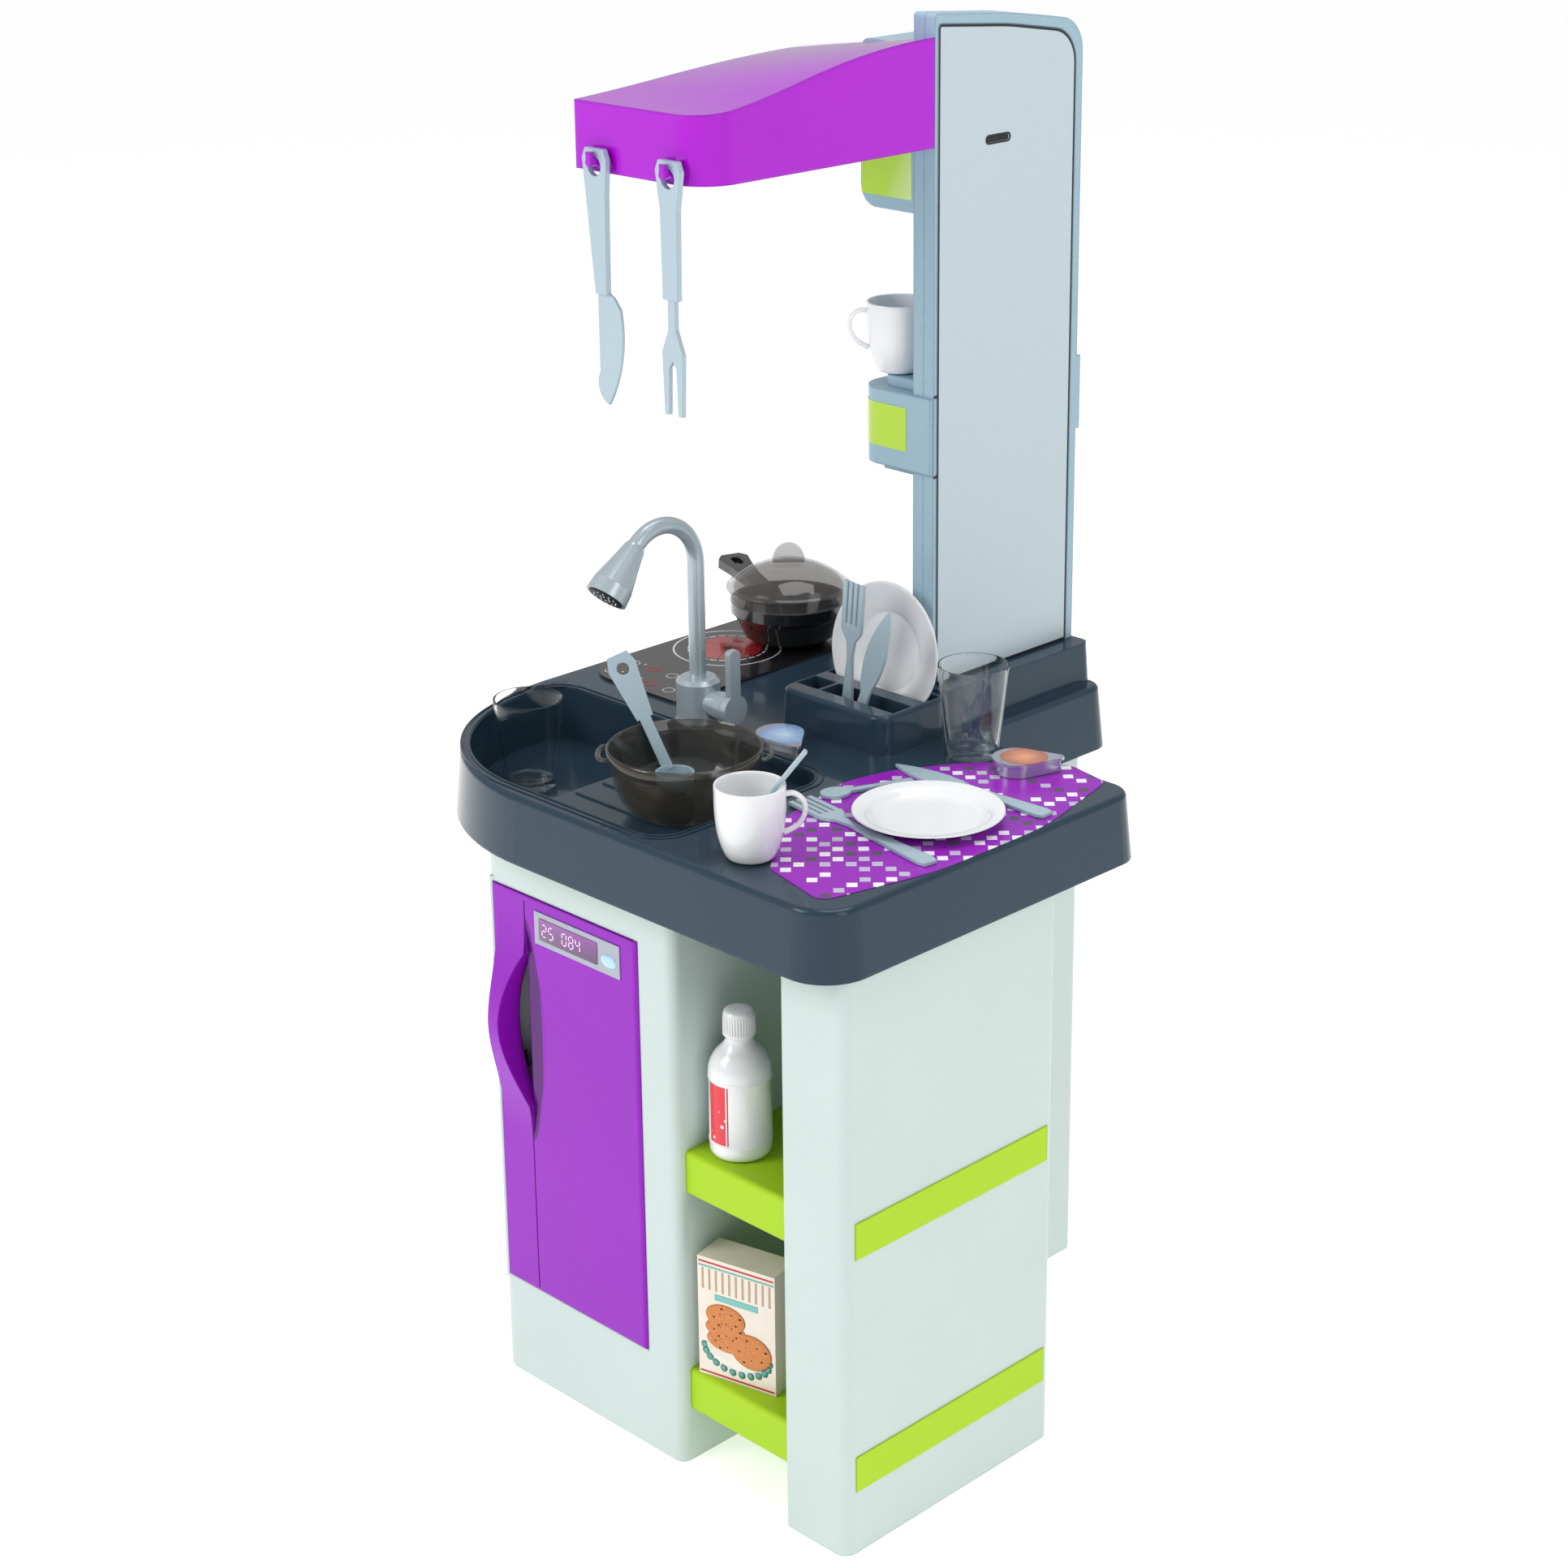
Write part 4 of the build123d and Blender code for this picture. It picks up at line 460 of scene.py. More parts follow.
screen = bmesh.new()
rounded_rectangle(screen, (display_low.x + 5 * MM, display_low.z + 4 * MM),
                  (display_high.x - 23 * MM, display_high.z - 4 * MM), [1.5 * MM] * 4)
raise_faces(screen, screen.faces[:], 0.5 * MM, 0.2 * MM)
on_front(screen, display_low.y)
finished(screen, "display_screen", screen_violet, "fridge_door")

SEGMENTS = {"2": "abged", "5": "afgcd", "0": "abcdef", "4": "fgbc", "8": "abcdefg", "1": "bc"}
DIGIT = (4.4 * MM, 9.0 * MM)
DIGIT_PITCH = 7.2 * MM
STROKE = 0.9 * MM
segments = bmesh.new()


def bar(mesh, low, high):
    """A flat rectangle between two corners."""
    corners = bmesh.ops.create_grid(mesh, x_segments=1, y_segments=1, size=0.5)["verts"]
    bmesh.ops.scale(mesh, verts=corners, vec=(high[0] - low[0], high[1] - low[1], 1))
    bmesh.ops.translate(mesh, verts=corners, vec=((low[0] + high[0]) / 2, (low[1] + high[1]) / 2, 0))


digit_x = display_low.x + 9 * MM
digit_z = (display_low.z + display_high.z) / 2 - DIGIT[1] / 2
for index, number in enumerate("25 084"):
    left = digit_x + index * DIGIT_PITCH
    middle = digit_z + DIGIT[1] / 2
    right = left + DIGIT[0]
    top = digit_z + DIGIT[1]
    for key in SEGMENTS.get(number, ""):
        if key in "agd":
            level = {"a": top, "g": middle, "d": digit_z}[key]
            bar(segments, (left + STROKE, level - STROKE / 2), (right - STROKE, level + STROKE / 2))
        else:
            side = right if key in "bc" else left
            foot = middle if key in "bf" else digit_z
            bar(segments, (side - STROKE / 2, foot + STROKE * 0.7),
                (side + STROKE / 2, foot + DIGIT[1] / 2 - STROKE * 0.7))
raise_faces(segments, segments.faces[:], 0.12 * MM)
on_front(segments, display_low.y - 0.5 * MM)
finished(segments, "display_numbers", painted_glow_pink, "fridge_door")

button = bmesh.new()
bmesh.ops.create_uvsphere(button, u_segments=32, v_segments=12, radius=1.0)
bmesh.ops.scale(button, verts=button.verts, vec=(8.2 * MM, 1.2 * MM, 5.0 * MM))
bmesh.ops.translate(button, verts=button.verts,
                    vec=(display_high.x - 11.5 * MM, display_low.y,
                         (display_low.z + display_high.z) / 2 - 2 * MM))
finished(button, "display_button", pale_blue, "fridge_door")


# ---- Oven door ----
# A black moulded frame that drops down on pins at its lower edge, with a window of clear smoked
# plastic in it.

dress(oven_black, "oven_door")
smoke = Finish("smoked_plastic", (0.20, 0.165, 0.135), 0.05, Transmission_Weight=0.92, IOR=1.45)
smoke.set("Roughness", 0.03 + smoke.noise(50.0) * 0.04)
smoke.bump(smoke.noise(30.0, 1.0), 0.0002, 0.5)
dress(smoke, "oven_window")


# ---- Tower ----
# An outer and an inner blue-grey shell, with a flat brushed side panel let into the outer one.
# The panel has a thin shadow gap all round, a dark strip of painted shade. The top box and the coffee machine
# are the same plastic.

tower_grey = moulded("tower_plastic", (0.33, 0.48, 0.57), 0.28, edge=0.0025, Specular_IOR_Level=0.3)
dress(tower_grey, "tower_outer_shell", "tower_inner_shell", "tower_top_box", "coffee_machine_body",
      "coffee_cup_stand", "coffee_spout", "hood_underside")
panel = Finish("tower_panel", (0.50, 0.60, 0.64), 0.4, Specular_IOR_Level=0.3)
streak = panel.node("Mapping", {"vector_type": "POINT"},
                    {"Vector": panel.place, "Scale": (60.0, 60.0, 1500.0)})
grain = Field(panel, panel.node("TexNoise", None, {"Vector": streak.outputs[0], "Scale": 1.0,
                                                   "Detail": 4.0}).outputs["Fac"])
panel.set("Base Color", panel.mix(grain, (0.49, 0.585, 0.63, 1), (0.54, 0.64, 0.68, 1)))
panel.set("Roughness", 0.30 + grain * 0.16)
panel.bump(grain, 0.00006, 0.5)
dress(panel, "tower_side_panel")

# The shadow gap is a dark strip of painted shade that follows the panel's own outline.
panel_low, panel_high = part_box("tower_side_panel")
tower_low, tower_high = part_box("tower_outer_shell")
gap_shade_line = bmesh.new()
gap_shade_line.from_mesh(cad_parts["tower_side_panel"].data)
bmesh.ops.remove_doubles(gap_shade_line, verts=gap_shade_line.verts, dist=1e-5)
others = [f for f in gap_shade_line.faces
          if f.normal.x < 0.99 or f.calc_center_median().x < panel_high.x - 0.1 * MM]
bmesh.ops.delete(gap_shade_line, geom=others, context="FACES")
outer_face = gap_shade_line.faces[:]
bmesh.ops.inset_region(gap_shade_line, faces=outer_face, thickness=1.5 * MM, use_boundary=True,
                       use_even_offset=True)
bmesh.ops.delete(gap_shade_line, geom=outer_face, context="FACES")
lifted = bmesh.ops.extrude_face_region(gap_shade_line, geom=gap_shade_line.faces[:])["geom"]
bmesh.ops.translate(gap_shade_line, verts=[g for g in lifted if isinstance(g, bmesh.types.BMVert)],
                    vec=(0.12 * MM, 0, 0))
finished(gap_shade_line, "panel_shadow_gap", dark_and_painted_shade, "kitchen")

# A dark web behind the panel's finger slot is painted shade in the slot's hollow.
SLOT = (23.4 * MM, 3.4 * MM)
slot_shade_web = bmesh.new()
rounded_rectangle(slot_shade_web, (-SLOT[0] / 2, -SLOT[1] / 2), (SLOT[0] / 2, SLOT[1] / 2), [SLOT[1] * 0.49] * 4, 6)
raise_faces(slot_shade_web, slot_shade_web.faces[:], 0.9 * MM)
slot_place = Vector((panel_low.x + 0.05 * MM, tower_low.y + 66 * MM, tower_high.z - 93 * MM))
bmesh.ops.transform(slot_shade_web, verts=slot_shade_web.verts, matrix=Matrix.Translation(slot_place)
                    @ Matrix.Rotation(math.radians(90), 4, "Z") @ Matrix.Rotation(math.radians(90), 4, "X"))
finished(slot_shade_web, "slot_shade_web", dark_and_painted_shade, "kitchen")

# Two dark blocks of painted shade stand in the notches by the tower's front edge, one under the coffee
# machine and one over it.
NOTCH_SHADE = Matrix.Diagonal((1.0 * MM, 5.0 * MM, 2.0 * MM, 1))
coffee_low, coffee_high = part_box("coffee_machine_body")
notch_shades = bmesh.new()
for level in (coffee_low.z - 1.5 * MM, coffee_high.z + 1.5 * MM):
    place = Matrix.Translation((panel_high.x - 0.2 * MM, coffee_low.y + 5.5 * MM, level))
    bmesh.ops.create_cube(notch_shades, size=1.0, matrix=place @ NOTCH_SHADE)
finished(notch_shades, "clip_notch_shades", dark_and_painted_shade, "kitchen")

# Lime film labels on the top box and the coffee machine, with a slanted pale highlight painted into their
# colour.
label_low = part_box("tower_labels")[0]
lime_label = Finish("lime_label", (0.46, 0.72, 0.01), 0.22, Coat_Weight=0.5, Coat_Roughness=0.1)
x, y, z = lime_label.axes()
slant = (x + y * 0.5 - (z - label_low.z) * 0.42) / (26 * MM)
fade = 1.0 - abs(slant + 0.62)
painted_gleam = fade.math("MAXIMUM", fade, 0.0) * (0.35 + 0.4 * lime_label.noise(20.0))
lime_label.set("Base Color", lime_label.mix(painted_gleam, (0.46, 0.72, 0.01, 1), (0.80, 0.88, 0.55, 1)))
dress(lime_label, "tower_labels")


# ---- Hood ----
# A deep gloss purple canopy with two peg hooks in front. The plate underneath is the tower's
# blue-grey plastic, and is dressed with it.

purple_hood = moulded("purple_hood", (0.41, 0.003, 0.60), 0.2, edge=0.004, Specular_IOR_Level=0.1,
                      Coat_Weight=1.0, Coat_Roughness=0.03, Coat_IOR=1.35)
dress(purple_hood, "hood_shell", "utensil_hooks")


# ---- Play cutlery ----
# Blue-grey moulded pieces: the hanging knife and fork, the ladle, the table setting, the teaspoon,
# and the fork and knife in the holder.

cutlery = moulded("cutlery_plastic", (0.41, 0.53, 0.59), 0.25, Metallic=0.1, Coat_Weight=0.3)
dress(cutlery, "hanging_knife", "hanging_fork", "ladle", "teaspoon", "table_fork", "table_knife",
      "table_spoon", "holder_fork", "holder_knife")


# ---- Saucepan ----
# A bowl of dark, clear smoky plastic, turned from a profile.
# It has a rolled band at its rim and an ear at either side.

def foot_of(node):
    """The middle of a node's underside."""
    low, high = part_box(node)
    return Vector(((low.x + high.x) / 2, (low.y + high.y) / 2, low.z))


def turned(mesh, points, centre, steps=72):
    """Spins a profile of (radius, height) in millimetres round a vertical line."""
    line = [mesh.verts.new((centre.x + r * MM, centre.y, centre.z + h * MM)) for r, h in points]
    edges = [mesh.edges.new(pair) for pair in zip(line, line[1:])]
    bmesh.ops.spin(mesh, geom=line + edges, cent=centre, axis=(0, 0, 1), angle=2 * math.pi, steps=steps,
                   use_merge=True)
    bmesh.ops.remove_doubles(mesh, verts=mesh.verts, dist=1e-6)


def curve_through(points, steps=5):
    """Points of a smooth line through the given ones, the same line each time."""
    line = []
    for i in range(len(points) - 1):
        before = Vector(points[max(i - 1, 0)])
        start, end = Vector(points[i]), Vector(points[i + 1])
        after = Vector(points[min(i + 2, len(points) - 1)])
        for k in range(steps):
            t = k / steps
            line.append(0.5 * ((2 * start) + (end - before) * t
                               + (2 * before - 5 * start + 4 * end - after) * t * t
                               + (3 * start - before - 3 * end + after) * t ** 3))
    return line + [Vector(points[-1])]


def tube(mesh, path, width, depth, across):
    """A bent bar of oval section along a path, ends closed."""
    side = across.normalized()
    last = len(path) - 1
    before = None
    for i, point in enumerate(path):
        along = (path[min(i + 1, last)] - path[max(i - 1, 0)]).normalized()
        rise = along.cross(side).normalized()
        turn = Matrix((side, rise, along)).transposed().to_4x4()
        place = Matrix.Translation(point) @ turn @ Matrix.Diagonal((width / 2, depth / 2, 1, 1))
        made = bmesh.ops.create_circle(mesh, cap_ends=i in (0, last), radius=1.0, segments=12,
                                       matrix=place)["verts"]
        ring = [edge for edge in mesh.edges if edge.verts[0] in made and edge.verts[1] in made]
        if before:
            bmesh.ops.bridge_loops(mesh, edges=before + ring)
        before = ring


def stand_in(mesh, name, node, finish, body):
    """A finished piece that stands for a CAD node."""
    piece = finished(mesh, name, finish, body, angle=50)
    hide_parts(node)
    return piece


pan_smoke = Finish("pan_smoke", (0.050, 0.043, 0.028), 0.06, Alpha=0.52, Coat_Weight=1.0, Coat_Roughness=0.03)
pan_smoke.set("Roughness", 0.03 + pan_smoke.noise(50.0) * 0.04)
pan_smoke.bump(pan_smoke.noise(18.0, 1.0), 0.0001, 0.4)

centre = foot_of("saucepan")
saucepan = bmesh.new()
saucepan_outside = curve_through([(34, 0), (40, 2.6), (46, 10), (50.6, 23), (52.8, 38)])
saucepan_inside = curve_through([(52.6, 46), (50.6, 38), (48.2, 23), (43.6, 11.5), (37.5, 4.8), (32, 2.6)])
turned(saucepan, [(0, 0)] + saucepan_outside + [(54.6, 39.4), (55, 40.4), (55, 46), (54, 47), (53.2, 47)]
       + saucepan_inside + [(0, 2.6)], centre)
EAR = curve_through([(53.2, -15), (57.5, -13), (60, -6), (60.3, 0), (60, 6), (57.5, 13), (53.2, 15)])
EAR_HEIGHT = 41.6
for side in (1, -1):
    out = Vector((side, side, 0)).normalized()
    tangent = out.cross(Vector((0, 0, 1)))
    tube(saucepan, [centre + (out * p[0] + tangent * p[1] + Vector((0, 0, EAR_HEIGHT))) * MM for p in EAR],
         3.0 * MM, 4.0 * MM, Vector((0, 0, 1)))
stand_in(saucepan, "saucepan_body", "saucepan", pan_smoke, "saucepan")


# ---- Frying pan and lid ----
# A black gloss pan with a clear smoky lid. The lid's dome has a stepped rim, and a half-moon grip
# stands on its crown.

pan_black = moulded("pan_black", (0.012, 0.012, 0.014), 0.14, Coat_Weight=0.7, Coat_Roughness=0.05)
dress(pan_black, "frying_pan")
lid_smoke = Finish("lid_smoke", (0.13, 0.115, 0.105), 0.05, Alpha=0.36, Coat_Weight=1.0, Coat_Roughness=0.03)
lid_smoke.set("Roughness", 0.03 + lid_smoke.noise(50.0) * 0.04)
lid_smoke.bump(lid_smoke.noise(18.0, 1.0), 0.0001, 0.4)

centre = foot_of("pan_lid")
lid = bmesh.new()
dome_outside = curve_through([(47, 11.8), (43.5, 15.6), (36, 21), (25, 26.6), (12, 30.2), (0, 31)])
dome_inside = curve_through([(0, 29), (12, 28.2), (24.5, 24.8), (35, 19.2), (41.5, 14.2), (44, 10.6)])
turned(lid, [(43.5, 0), (46.5, 0), (47, 4), (47.4, 8), (49.4, 8.6), (50, 9.4), (50, 10.4), (49.4, 11.2)]
       + dome_outside + dome_inside + [(43.7, 7.6), (43.5, 0)], centre)
GRIP = (13.0, 14.5)
grip = bmesh.new()
bmesh.ops.create_circle(grip, cap_ends=True, radius=1.0, segments=48)
bmesh.ops.scale(grip, verts=grip.verts, vec=(GRIP[0] * MM, GRIP[1] * MM, 1))
bmesh.ops.bisect_plane(grip, geom=grip.verts[:] + grip.edges[:] + grip.faces[:], plane_co=(0, -0.5 * MM, 0),
                       plane_no=(0, -1, 0), clear_outer=True)
raise_faces(grip, grip.faces[:], 7.0 * MM, 1.4 * MM)
bmesh.ops.translate(grip, verts=grip.verts, vec=(0, 0, -3.5 * MM))
grip_turn = Matrix((Vector((1, 1, 0)).normalized(), Vector((0, 0, 1)),
                    Vector((1, -1, 0)).normalized())).transposed()
crown = Vector((centre.x, centre.y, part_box("pan_lid")[1].z - GRIP[1] * MM))
bmesh.ops.transform(grip, verts=grip.verts, matrix=Matrix.Translation(crown) @ grip_turn.to_4x4())
stand_in(lid, "pan_lid_dome", "pan_lid", lid_smoke, "pan_lid")
finished(grip, "pan_lid_grip", lid_smoke, "pan_lid")


# ---- Glasses ----
# Two plain clear tumblers, turned with a thick foot and a rounded lip.
# One stands in the sink and one on the table end.

glass_wall = curve_through([(17.2, 0), (18.4, 1), (20.4, 17), (23.4, 43), (25.9, 66.8)])
glass_bore = curve_through([(24.3, 66.8), (21.6, 43), (18.7, 18), (16.9, 7.5), (14.5, 5.4), (0, 5)])
for node_name in ("sink_glass", "table_glass"):
    tumbler = bmesh.new()
    turned(tumbler, [(0, 0)] + glass_wall + [(25.6, 67.8), (24.6, 67.8)] + glass_bore, foot_of(node_name))
    stand_in(tumbler, node_name + "_body", node_name, clear, node_name)


# ---- Mugs ----
# White, with a tapered foot, a straight mouth and an ear-shaped handle. One stands on the table end
# and one on the coffee machine.

white = moulded("white_plastic", (0.86, 0.87, 0.88), 0.16, Coat_Weight=0.4, Coat_Roughness=0.06)
MUG_R = 24.0
mug_outside = curve_through([(14.5, 0.6), (16.5, 2.2), (19.6, 9), (22.4, 20), (23.8, 34), (24.0, 51)])
mug_inside = curve_through([(22.2, 51), (22.0, 34), (20.6, 20), (17.6, 9), (12.0, 4.2), (0, 3.4)])
mug_profile = [(0, 1.0), (12.0, 1.0), (12.8, 0)] + mug_outside + [(23.7, 51.8), (22.6, 51.8)] + mug_inside
MUG_EAR = curve_through([(22.5, 44.5), (29, 45), (35, 40), (36, 31.5), (31.5, 23), (22.5, 17.5)])
for node_name, corner, side in (("table_mug", 0, 1), ("coffee_mug", 1, -1)):
    mug_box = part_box(node_name)
    centre = Vector((mug_box[corner].x + side * MUG_R * MM, mug_box[corner].y + side * MUG_R * MM,
                     mug_box[0].z))
    mug = bmesh.new()
    turned(mug, mug_profile, centre)
    out = Vector((side, side, 0)).normalized()
    tube(mug, [centre + (out * p[0] + Vector((0, 0, p[1]))) * MM for p in MUG_EAR], 6.0 * MM, 3.6 * MM,
         out.cross(Vector((0, 0, 1))))
    stand_in(mug, node_name + "_body", node_name, white, node_name)


# ---- Plates ----
# White plates with a flat middle, a rolled rim and a foot ring. One lies on the mat and one stands
# in the holder.

dress(white, "standing_plate")
plate_low, plate_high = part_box("table_plate")
PLATE_R = (plate_high.x - plate_low.x) / 2 / MM
PLATE_H = (plate_high.z - plate_low.z) / MM
plate = bmesh.new()
plate_upper = curve_through([(PLATE_R - 0.6, PLATE_H), (PLATE_R - 9, PLATE_H - 1.6), (PLATE_R - 15, 2.4),
                             (30, 1.9), (0, 1.9)])
plate_lower = curve_through([(31, 0.2), (PLATE_R - 16, 0.9), (PLATE_R - 8, PLATE_H - 3.2),
                             (PLATE_R, PLATE_H - 0.9)])
turned(plate, [(0, 0.6), (27, 0.6), (28, 0), (30, 0)] + plate_lower + plate_upper, foot_of("table_plate"), 96)
stand_in(plate, "table_plate_body", "table_plate", white, "table_plate")


# ---- Bottle ----
# A blown white bottle with a bead above and below its label, and a screw cap with grip ribs.
# The label is a red strip with pale bubbles and a thin red line beside it, and carries no words.

bottle_low, bottle_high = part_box("bottle")
centre = foot_of("bottle")
BOTTLE_R = (bottle_high.x - bottle_low.x) / 2 / MM
bottle = bmesh.new()
shoulder = curve_through([(BOTTLE_R - 0.2, 62), (BOTTLE_R - 1.2, 68), (BOTTLE_R - 5, 75.5), (12.4, 81),
                          (10, 85), (9.4, 90), (9.4, 101)])
foot = curve_through([(17, 0), (20.2, 0.9), (BOTTLE_R - 0.7, 4), (BOTTLE_R - 0.3, 9)])
beads = [(BOTTLE_R - inset, height) for inset, height in
         ((0.3, 10.2), (0, 10.7), (0, 11.7), (0.5, 12.2), (0.5, 57.6), (0, 58.1), (0, 59.3), (0.3, 59.8))]
turned(bottle, [(0, 1.4), (13, 1.2)] + foot + beads + shoulder + [(8.0, 101), (8.0, 86), (0, 86)], centre)
stand_in(bottle, "bottle_body", "bottle", white, "bottle")

cap_low, cap_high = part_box("bottle_cap")
cap_centre = Vector((centre.x, centre.y, cap_low.z))
CAP_R = (cap_high.x - cap_low.x) / 2 / MM
CAP_H = (cap_high.z - cap_low.z) / MM
CAP_RIBS = 36
cap = bmesh.new()
turned(cap, [(CAP_R - 1.2, 0), (CAP_R - 0.4, 0.4), (CAP_R - 0.4, 2), (CAP_R - 0.9, 2.6),
             (CAP_R - 0.9, CAP_H - 3.4), (CAP_R - 1.6, CAP_H - 1.2), (CAP_R - 3.4, CAP_H - 0.2),
             (4, CAP_H), (0, CAP_H)], cap_centre)
for index in range(CAP_RIBS):
    turn = 2 * math.pi * index / CAP_RIBS
    spot = cap_centre + Vector((math.cos(turn), math.sin(turn), 0)) * (CAP_R - 0.85) * MM
    bmesh.ops.create_cone(cap, cap_ends=True, segments=6, radius1=0.5 * MM, radius2=0.3 * MM,
                          depth=(CAP_H - 6.5) * MM,
                          matrix=Matrix.Translation(spot + Vector((0, 0, (CAP_H / 2 - 0.5) * MM))))
stand_in(cap, "bottle_cap_body", "bottle_cap", white, "bottle_cap")

LABEL_RED = (0.75, 0.012, 0.03)
label_red = Finish("label_red", LABEL_RED, 0.3, Coat_Weight=0.3)
bubbles = label_red.node("TexVoronoi", {"feature": "F1"}, {"Vector": label_red.place, "Scale": 210.0})
bubble_size = Field(label_red, bubbles.outputs["Color"]) * 0.34
bubble = Field(label_red, bubbles.outputs["Distance"]) < bubble_size
label_red.set("Base Color", label_red.mix(bubble, (*LABEL_RED, 1), (0.9, 0.72, 0.74, 1)))
label_red.set("Roughness", 0.25 + label_red.noise(60.0) * 0.15)


def wrapped(name, finish, start, stop):
    """A thin film wrapped round the bottle between two angles, in degrees."""
    strip = bmesh.new()
    turn = math.radians(start)
    at = Vector((math.cos(turn), math.sin(turn), 0)) * (BOTTLE_R - 0.42) * MM
    ends = [strip.verts.new(centre + at + Vector((0, 0, height * MM))) for height in (13, 57)]
    edge = strip.edges.new(ends)
    bmesh.ops.spin(strip, geom=ends + [edge], cent=centre, axis=(0, 0, 1),
                   angle=math.radians(stop - start), steps=24)
    bmesh.ops.solidify(strip, geom=strip.faces[:], thickness=0.1 * MM)
    finished(strip, name, finish, "bottle")


wrapped("bottle_label", label_red, -112, -72)
wrapped("bottle_label_edge", ink_red, -69, -66.5)


# ---- Coffee pods ----
# Two small round silver cups, each with a printed lid.
# The print is pale blue for milk and red for chocolate, with no words.

for node_name, middle, edge in (("milk_pod", (0.55, 0.75, 0.95, 1), (0.10, 0.22, 0.55, 1)),
                                ("chocolate_pod", (0.85, 0.32, 0.12, 1), (0.28, 0.03, 0.02, 1))):
    pod_low, pod_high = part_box(node_name)
    pod = Finish(node_name + "_print", (0.5, 0.5, 0.55), 0.22, Coat_Weight=0.5)
    x, y, z = pod.axes()
    dx, dy = x - (pod_low.x + pod_high.x) / 2, y - (pod_low.y + pod_high.y) / 2
    away = (dx * dx + dy * dy).root() / ((pod_high.x - pod_low.x) / 2)
    seal = (z > pod_high.z - 0.4 * MM) * (away < 0.80)
    swirl = away + pod.noise(130.0, 3.0) * 0.5 - 0.25
    printed = pod.mix(swirl, middle, edge)
    pod.set("Base Color", pod.mix(seal, (0.48, 0.50, 0.55, 1), printed))
    pod.set("Metallic", 0.7 - 0.7 * seal)
    dress(pod, node_name)


# ---- Cookie box ----
# A folded card carton, turned a little on its shelf, with its face printed in thin ink: stripes, a
# teal ribbon and scalloped cloth edge, and an oval plate with round biscuits and dark chips.

carton = Finish("carton_print", (0.85, 0.78, 0.68), 0.5)
card = carton.noise(60.0, 5.0)
carton.set("Base Color", carton.mix(card, (0.80, 0.70, 0.58, 1), (0.90, 0.84, 0.76, 1)))
carton.bump(carton.noise(700.0), 0.00003)
dress(carton, "cookie_box")

BOX_WIDTH, BOX_DEPTH = 64.0 * MM, 28.0 * MM
BOX_TURN = math.radians(13.4)
box_face = (Matrix.Translation(foot_of("cookie_box")) @ Matrix.Rotation(BOX_TURN, 4, "Z")
            @ Matrix.Translation((0, -BOX_DEPTH / 2, 0)) @ TO_FRONT)
print_teal = moulded("print_teal", (0.20, 0.55, 0.50), 0.5)
print_cream = moulded("print_cream", (0.86, 0.80, 0.72), 0.5)
biscuit = moulded("print_biscuit", (0.55, 0.24, 0.08), 0.6)
biscuit.set("Base Color", biscuit.mix(biscuit.noise(500.0, 4.0), (0.50, 0.12, 0.02, 1),
                                      (0.80, 0.33, 0.10, 1)))
chocolate = moulded("print_chocolate", (0.06, 0.02, 0.01), 0.5)


def band(mesh, low, high, height=0.12 * MM):
    """A raised bar of ink between two corners."""
    start = len(mesh.verts)
    bar(mesh, low, high)
    mesh.verts.ensure_lookup_table()
    made = mesh.verts[start:]
    faces = [f for f in mesh.faces if all(v in made for v in f.verts)]
    raise_faces(mesh, faces, height)


def printed_piece(mesh, name, finish):
    """Stands flat ink on the carton's face."""
    bmesh.ops.transform(mesh, verts=mesh.verts, matrix=box_face)
    finished(mesh, name, finish, "cookie_box")


half_w = BOX_WIDTH / 2 - 1.0 * MM
stripes_red = bmesh.new()
for level in (90.5, 2.5):
    band(stripes_red, (-half_w, (level - 0.7) * MM), (half_w, (level + 0.7) * MM))
printed_piece(stripes_red, "box_stripes_red", ink_red)
cloth_teal = bmesh.new()
band(cloth_teal, (-18 * MM, 62 * MM), (18 * MM, 67 * MM))
band(cloth_teal, (-half_w, 86.5 * MM), (half_w, 88 * MM))
for index in range(13):
    turn = math.pi * (index - 1) / 11
    spot = (math.cos(turn) * 27 * MM, (24 - 0.72 * 22 * math.sin(turn)) * MM, 0)
    bmesh.ops.create_cone(cloth_teal, cap_ends=True, segments=16, radius1=3.2 * MM, radius2=3.0 * MM,
                          depth=0.12 * MM,
                          matrix=Matrix.Translation(spot))
printed_piece(cloth_teal, "box_cloth_teal", print_teal)
stripes_brown = bmesh.new()
for index in range(11):
    at = half_w * (index - 5) / 5.6
    band(stripes_brown, (at - 0.9 * MM, 69 * MM), (at + 0.9 * MM, 85.6 * MM), 0.1 * MM)
printed_piece(stripes_brown, "box_stripes_brown", moulded("print_brown", (0.55, 0.40, 0.26), 0.5))
oval_plate = bmesh.new()
bmesh.ops.create_cone(oval_plate, cap_ends=True, segments=48, radius1=23 * MM, radius2=22.6 * MM,
                      depth=0.3 * MM,
                      matrix=Matrix.Translation((0, 27 * MM, 0)) @ Matrix.Diagonal((1.12, 0.72, 1, 1)))
printed_piece(oval_plate, "box_plate_cream", print_cream)
biscuits = bmesh.new()
chips = bmesh.new()
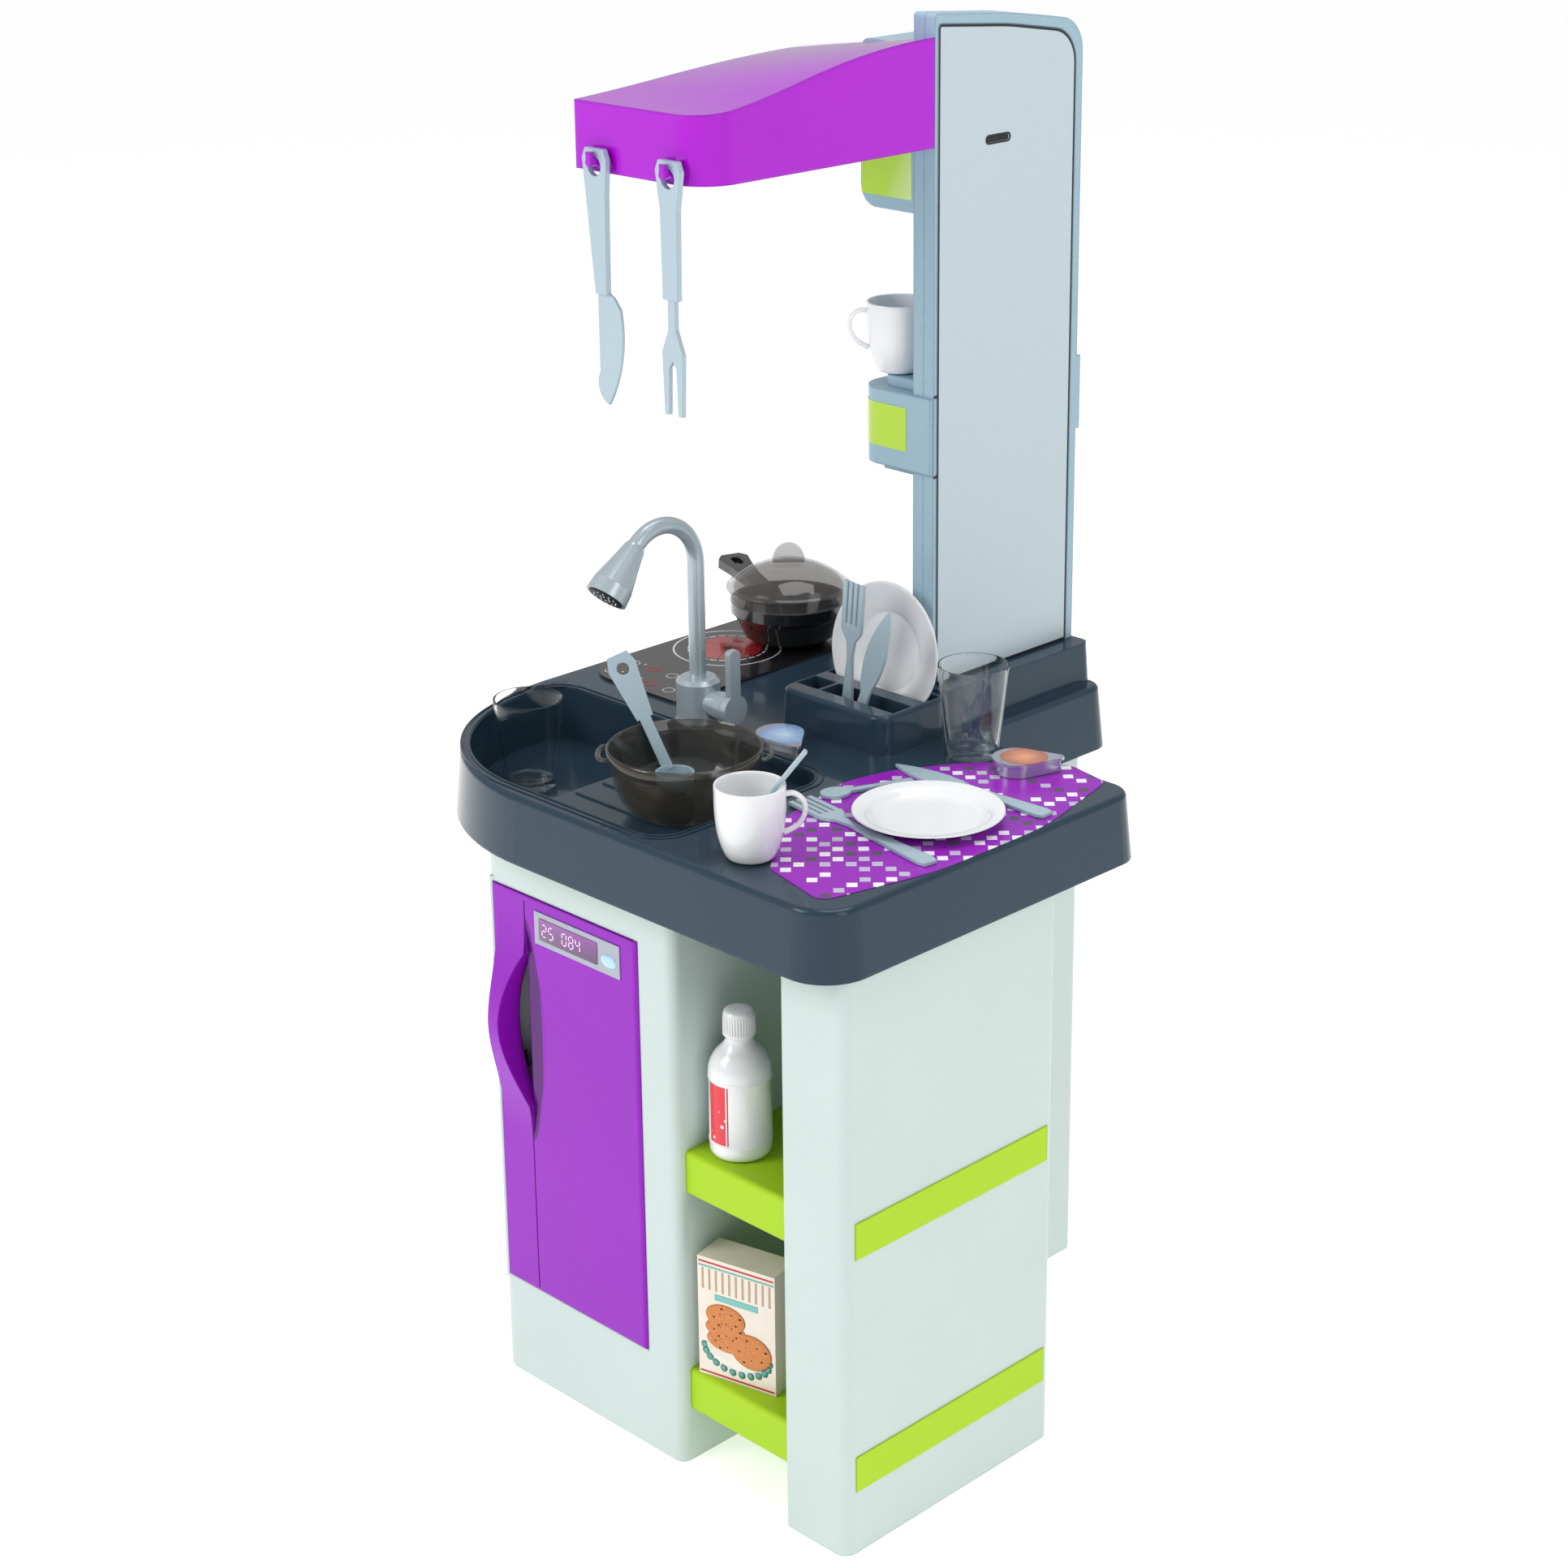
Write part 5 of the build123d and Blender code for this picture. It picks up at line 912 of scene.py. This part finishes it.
# Each biscuit: middle across and up, radius, flattening, and how far it stands over the one behind.
BISCUITS = ((-9, 50, 16.5, 0.62, 0.8), (-9, 40, 17, 0.5, 0.6), (-8, 31, 17, 0.5, 0.4), (12, 29, 17, 0.8, 1.4))
for bx, bz, size, flat_share, lift in BISCUITS:
    shape = (Matrix.Translation((bx * MM, bz * MM, lift * 0.3 * MM))
             @ Matrix.Diagonal((1, flat_share, 0.04, 1)))
    bmesh.ops.create_uvsphere(biscuits, u_segments=32, v_segments=12, radius=size * MM, matrix=shape)
    for index in range(9):
        turn = 2.4 * index
        reach = size * 0.8 * math.sqrt((index + 0.5) / 9)
        spot = (bx * MM + math.cos(turn) * reach * MM, bz * MM + math.sin(turn) * reach * flat_share * MM,
                (lift * 0.3 + 0.34) * MM)
        bmesh.ops.create_uvsphere(chips, u_segments=10, v_segments=6, radius=1.1 * MM,
                                  matrix=Matrix.Translation(spot) @ Matrix.Diagonal((1.2, 0.9, 0.3, 1)))
printed_piece(biscuits, "box_biscuits", biscuit)
printed_piece(chips, "box_chips", chocolate)


# ---- Studio ----
# A pale floor that glows faintly and a white surround, with soft boxes in front, at the side and above.
# The camera stands off the corner between the fridge door and the table end.

FLOOR_REACH = 40.0
floor_mesh = bmesh.new()
bmesh.ops.create_grid(floor_mesh, x_segments=1, y_segments=1, size=FLOOR_REACH)
floor_data = bpy.data.meshes.new("floor")
floor_mesh.to_mesh(floor_data)
floor_mesh.free()
floor = bpy.data.objects.new("floor", floor_data)
floor_finish = Finish("floor_pale", (0.86, 0.86, 0.86), 0.6)
floor_finish.set("Roughness", 0.55 + floor_finish.noise(6.0) * 0.1)
floor_finish.set("Emission Color", (1, 1, 1, 1))
floor_finish.set("Emission Strength", 0.56)
floor_data.materials.append(floor_finish.material)
bpy.context.scene.collection.objects.link(floor)

world = bpy.data.worlds.new("studio")
world.use_nodes = True
world.node_tree.nodes["Background"].inputs["Color"].default_value = (1, 1, 1, 1)
world.node_tree.nodes["Background"].inputs["Strength"].default_value = 0.48
bpy.context.scene.world = world
bpy.context.scene.view_settings.view_transform = "Standard"


def soft_box(name, place, target, size, power):
    data = bpy.data.lights.new(name, "AREA")
    data.shape = "RECTANGLE"
    data.size, data.size_y = size
    data.energy = power
    light = bpy.data.objects.new(name, data)
    light.location = place
    light.rotation_euler = (Vector(target) - Vector(place)).to_track_quat("-Z", "Y").to_euler()
    bpy.context.scene.collection.objects.link(light)


TARGET = (0, 0, 0.55)
soft_box("front_box", (-0.9, -2.2, 1.9), TARGET, (1.2, 1.6), 30)
soft_box("side_box", (2.4, -0.4, 1.5), TARGET, (1.0, 1.8), 13)
soft_box("top_box", (0.2, 0.3, 2.6), TARGET, (1.4, 1.4), 22)

AZIMUTH, ELEVATION, ROLL = 44.81, 18.45, -0.43
camera_data = bpy.data.cameras.new("camera")
camera_data.sensor_width = 36.0
camera_data.lens = 69.88
camera_data.shift_x = -0.0254
camera_data.shift_y = -0.0983
camera = bpy.data.objects.new("camera", camera_data)
camera.rotation_mode = "QUATERNION"
azimuth, elevation = math.radians(AZIMUTH), math.radians(ELEVATION)
back = Vector((math.sin(azimuth) * math.cos(elevation), -math.cos(azimuth) * math.cos(elevation),
               math.sin(elevation)))
camera.rotation_quaternion = (-back).to_track_quat("-Z", "Y") @ \
    Matrix.Rotation(math.radians(ROLL), 3, "Z").to_quaternion()
camera.location = (1.475, -1.477, 1.259)
bpy.context.scene.collection.objects.link(camera)
bpy.context.scene.camera = camera
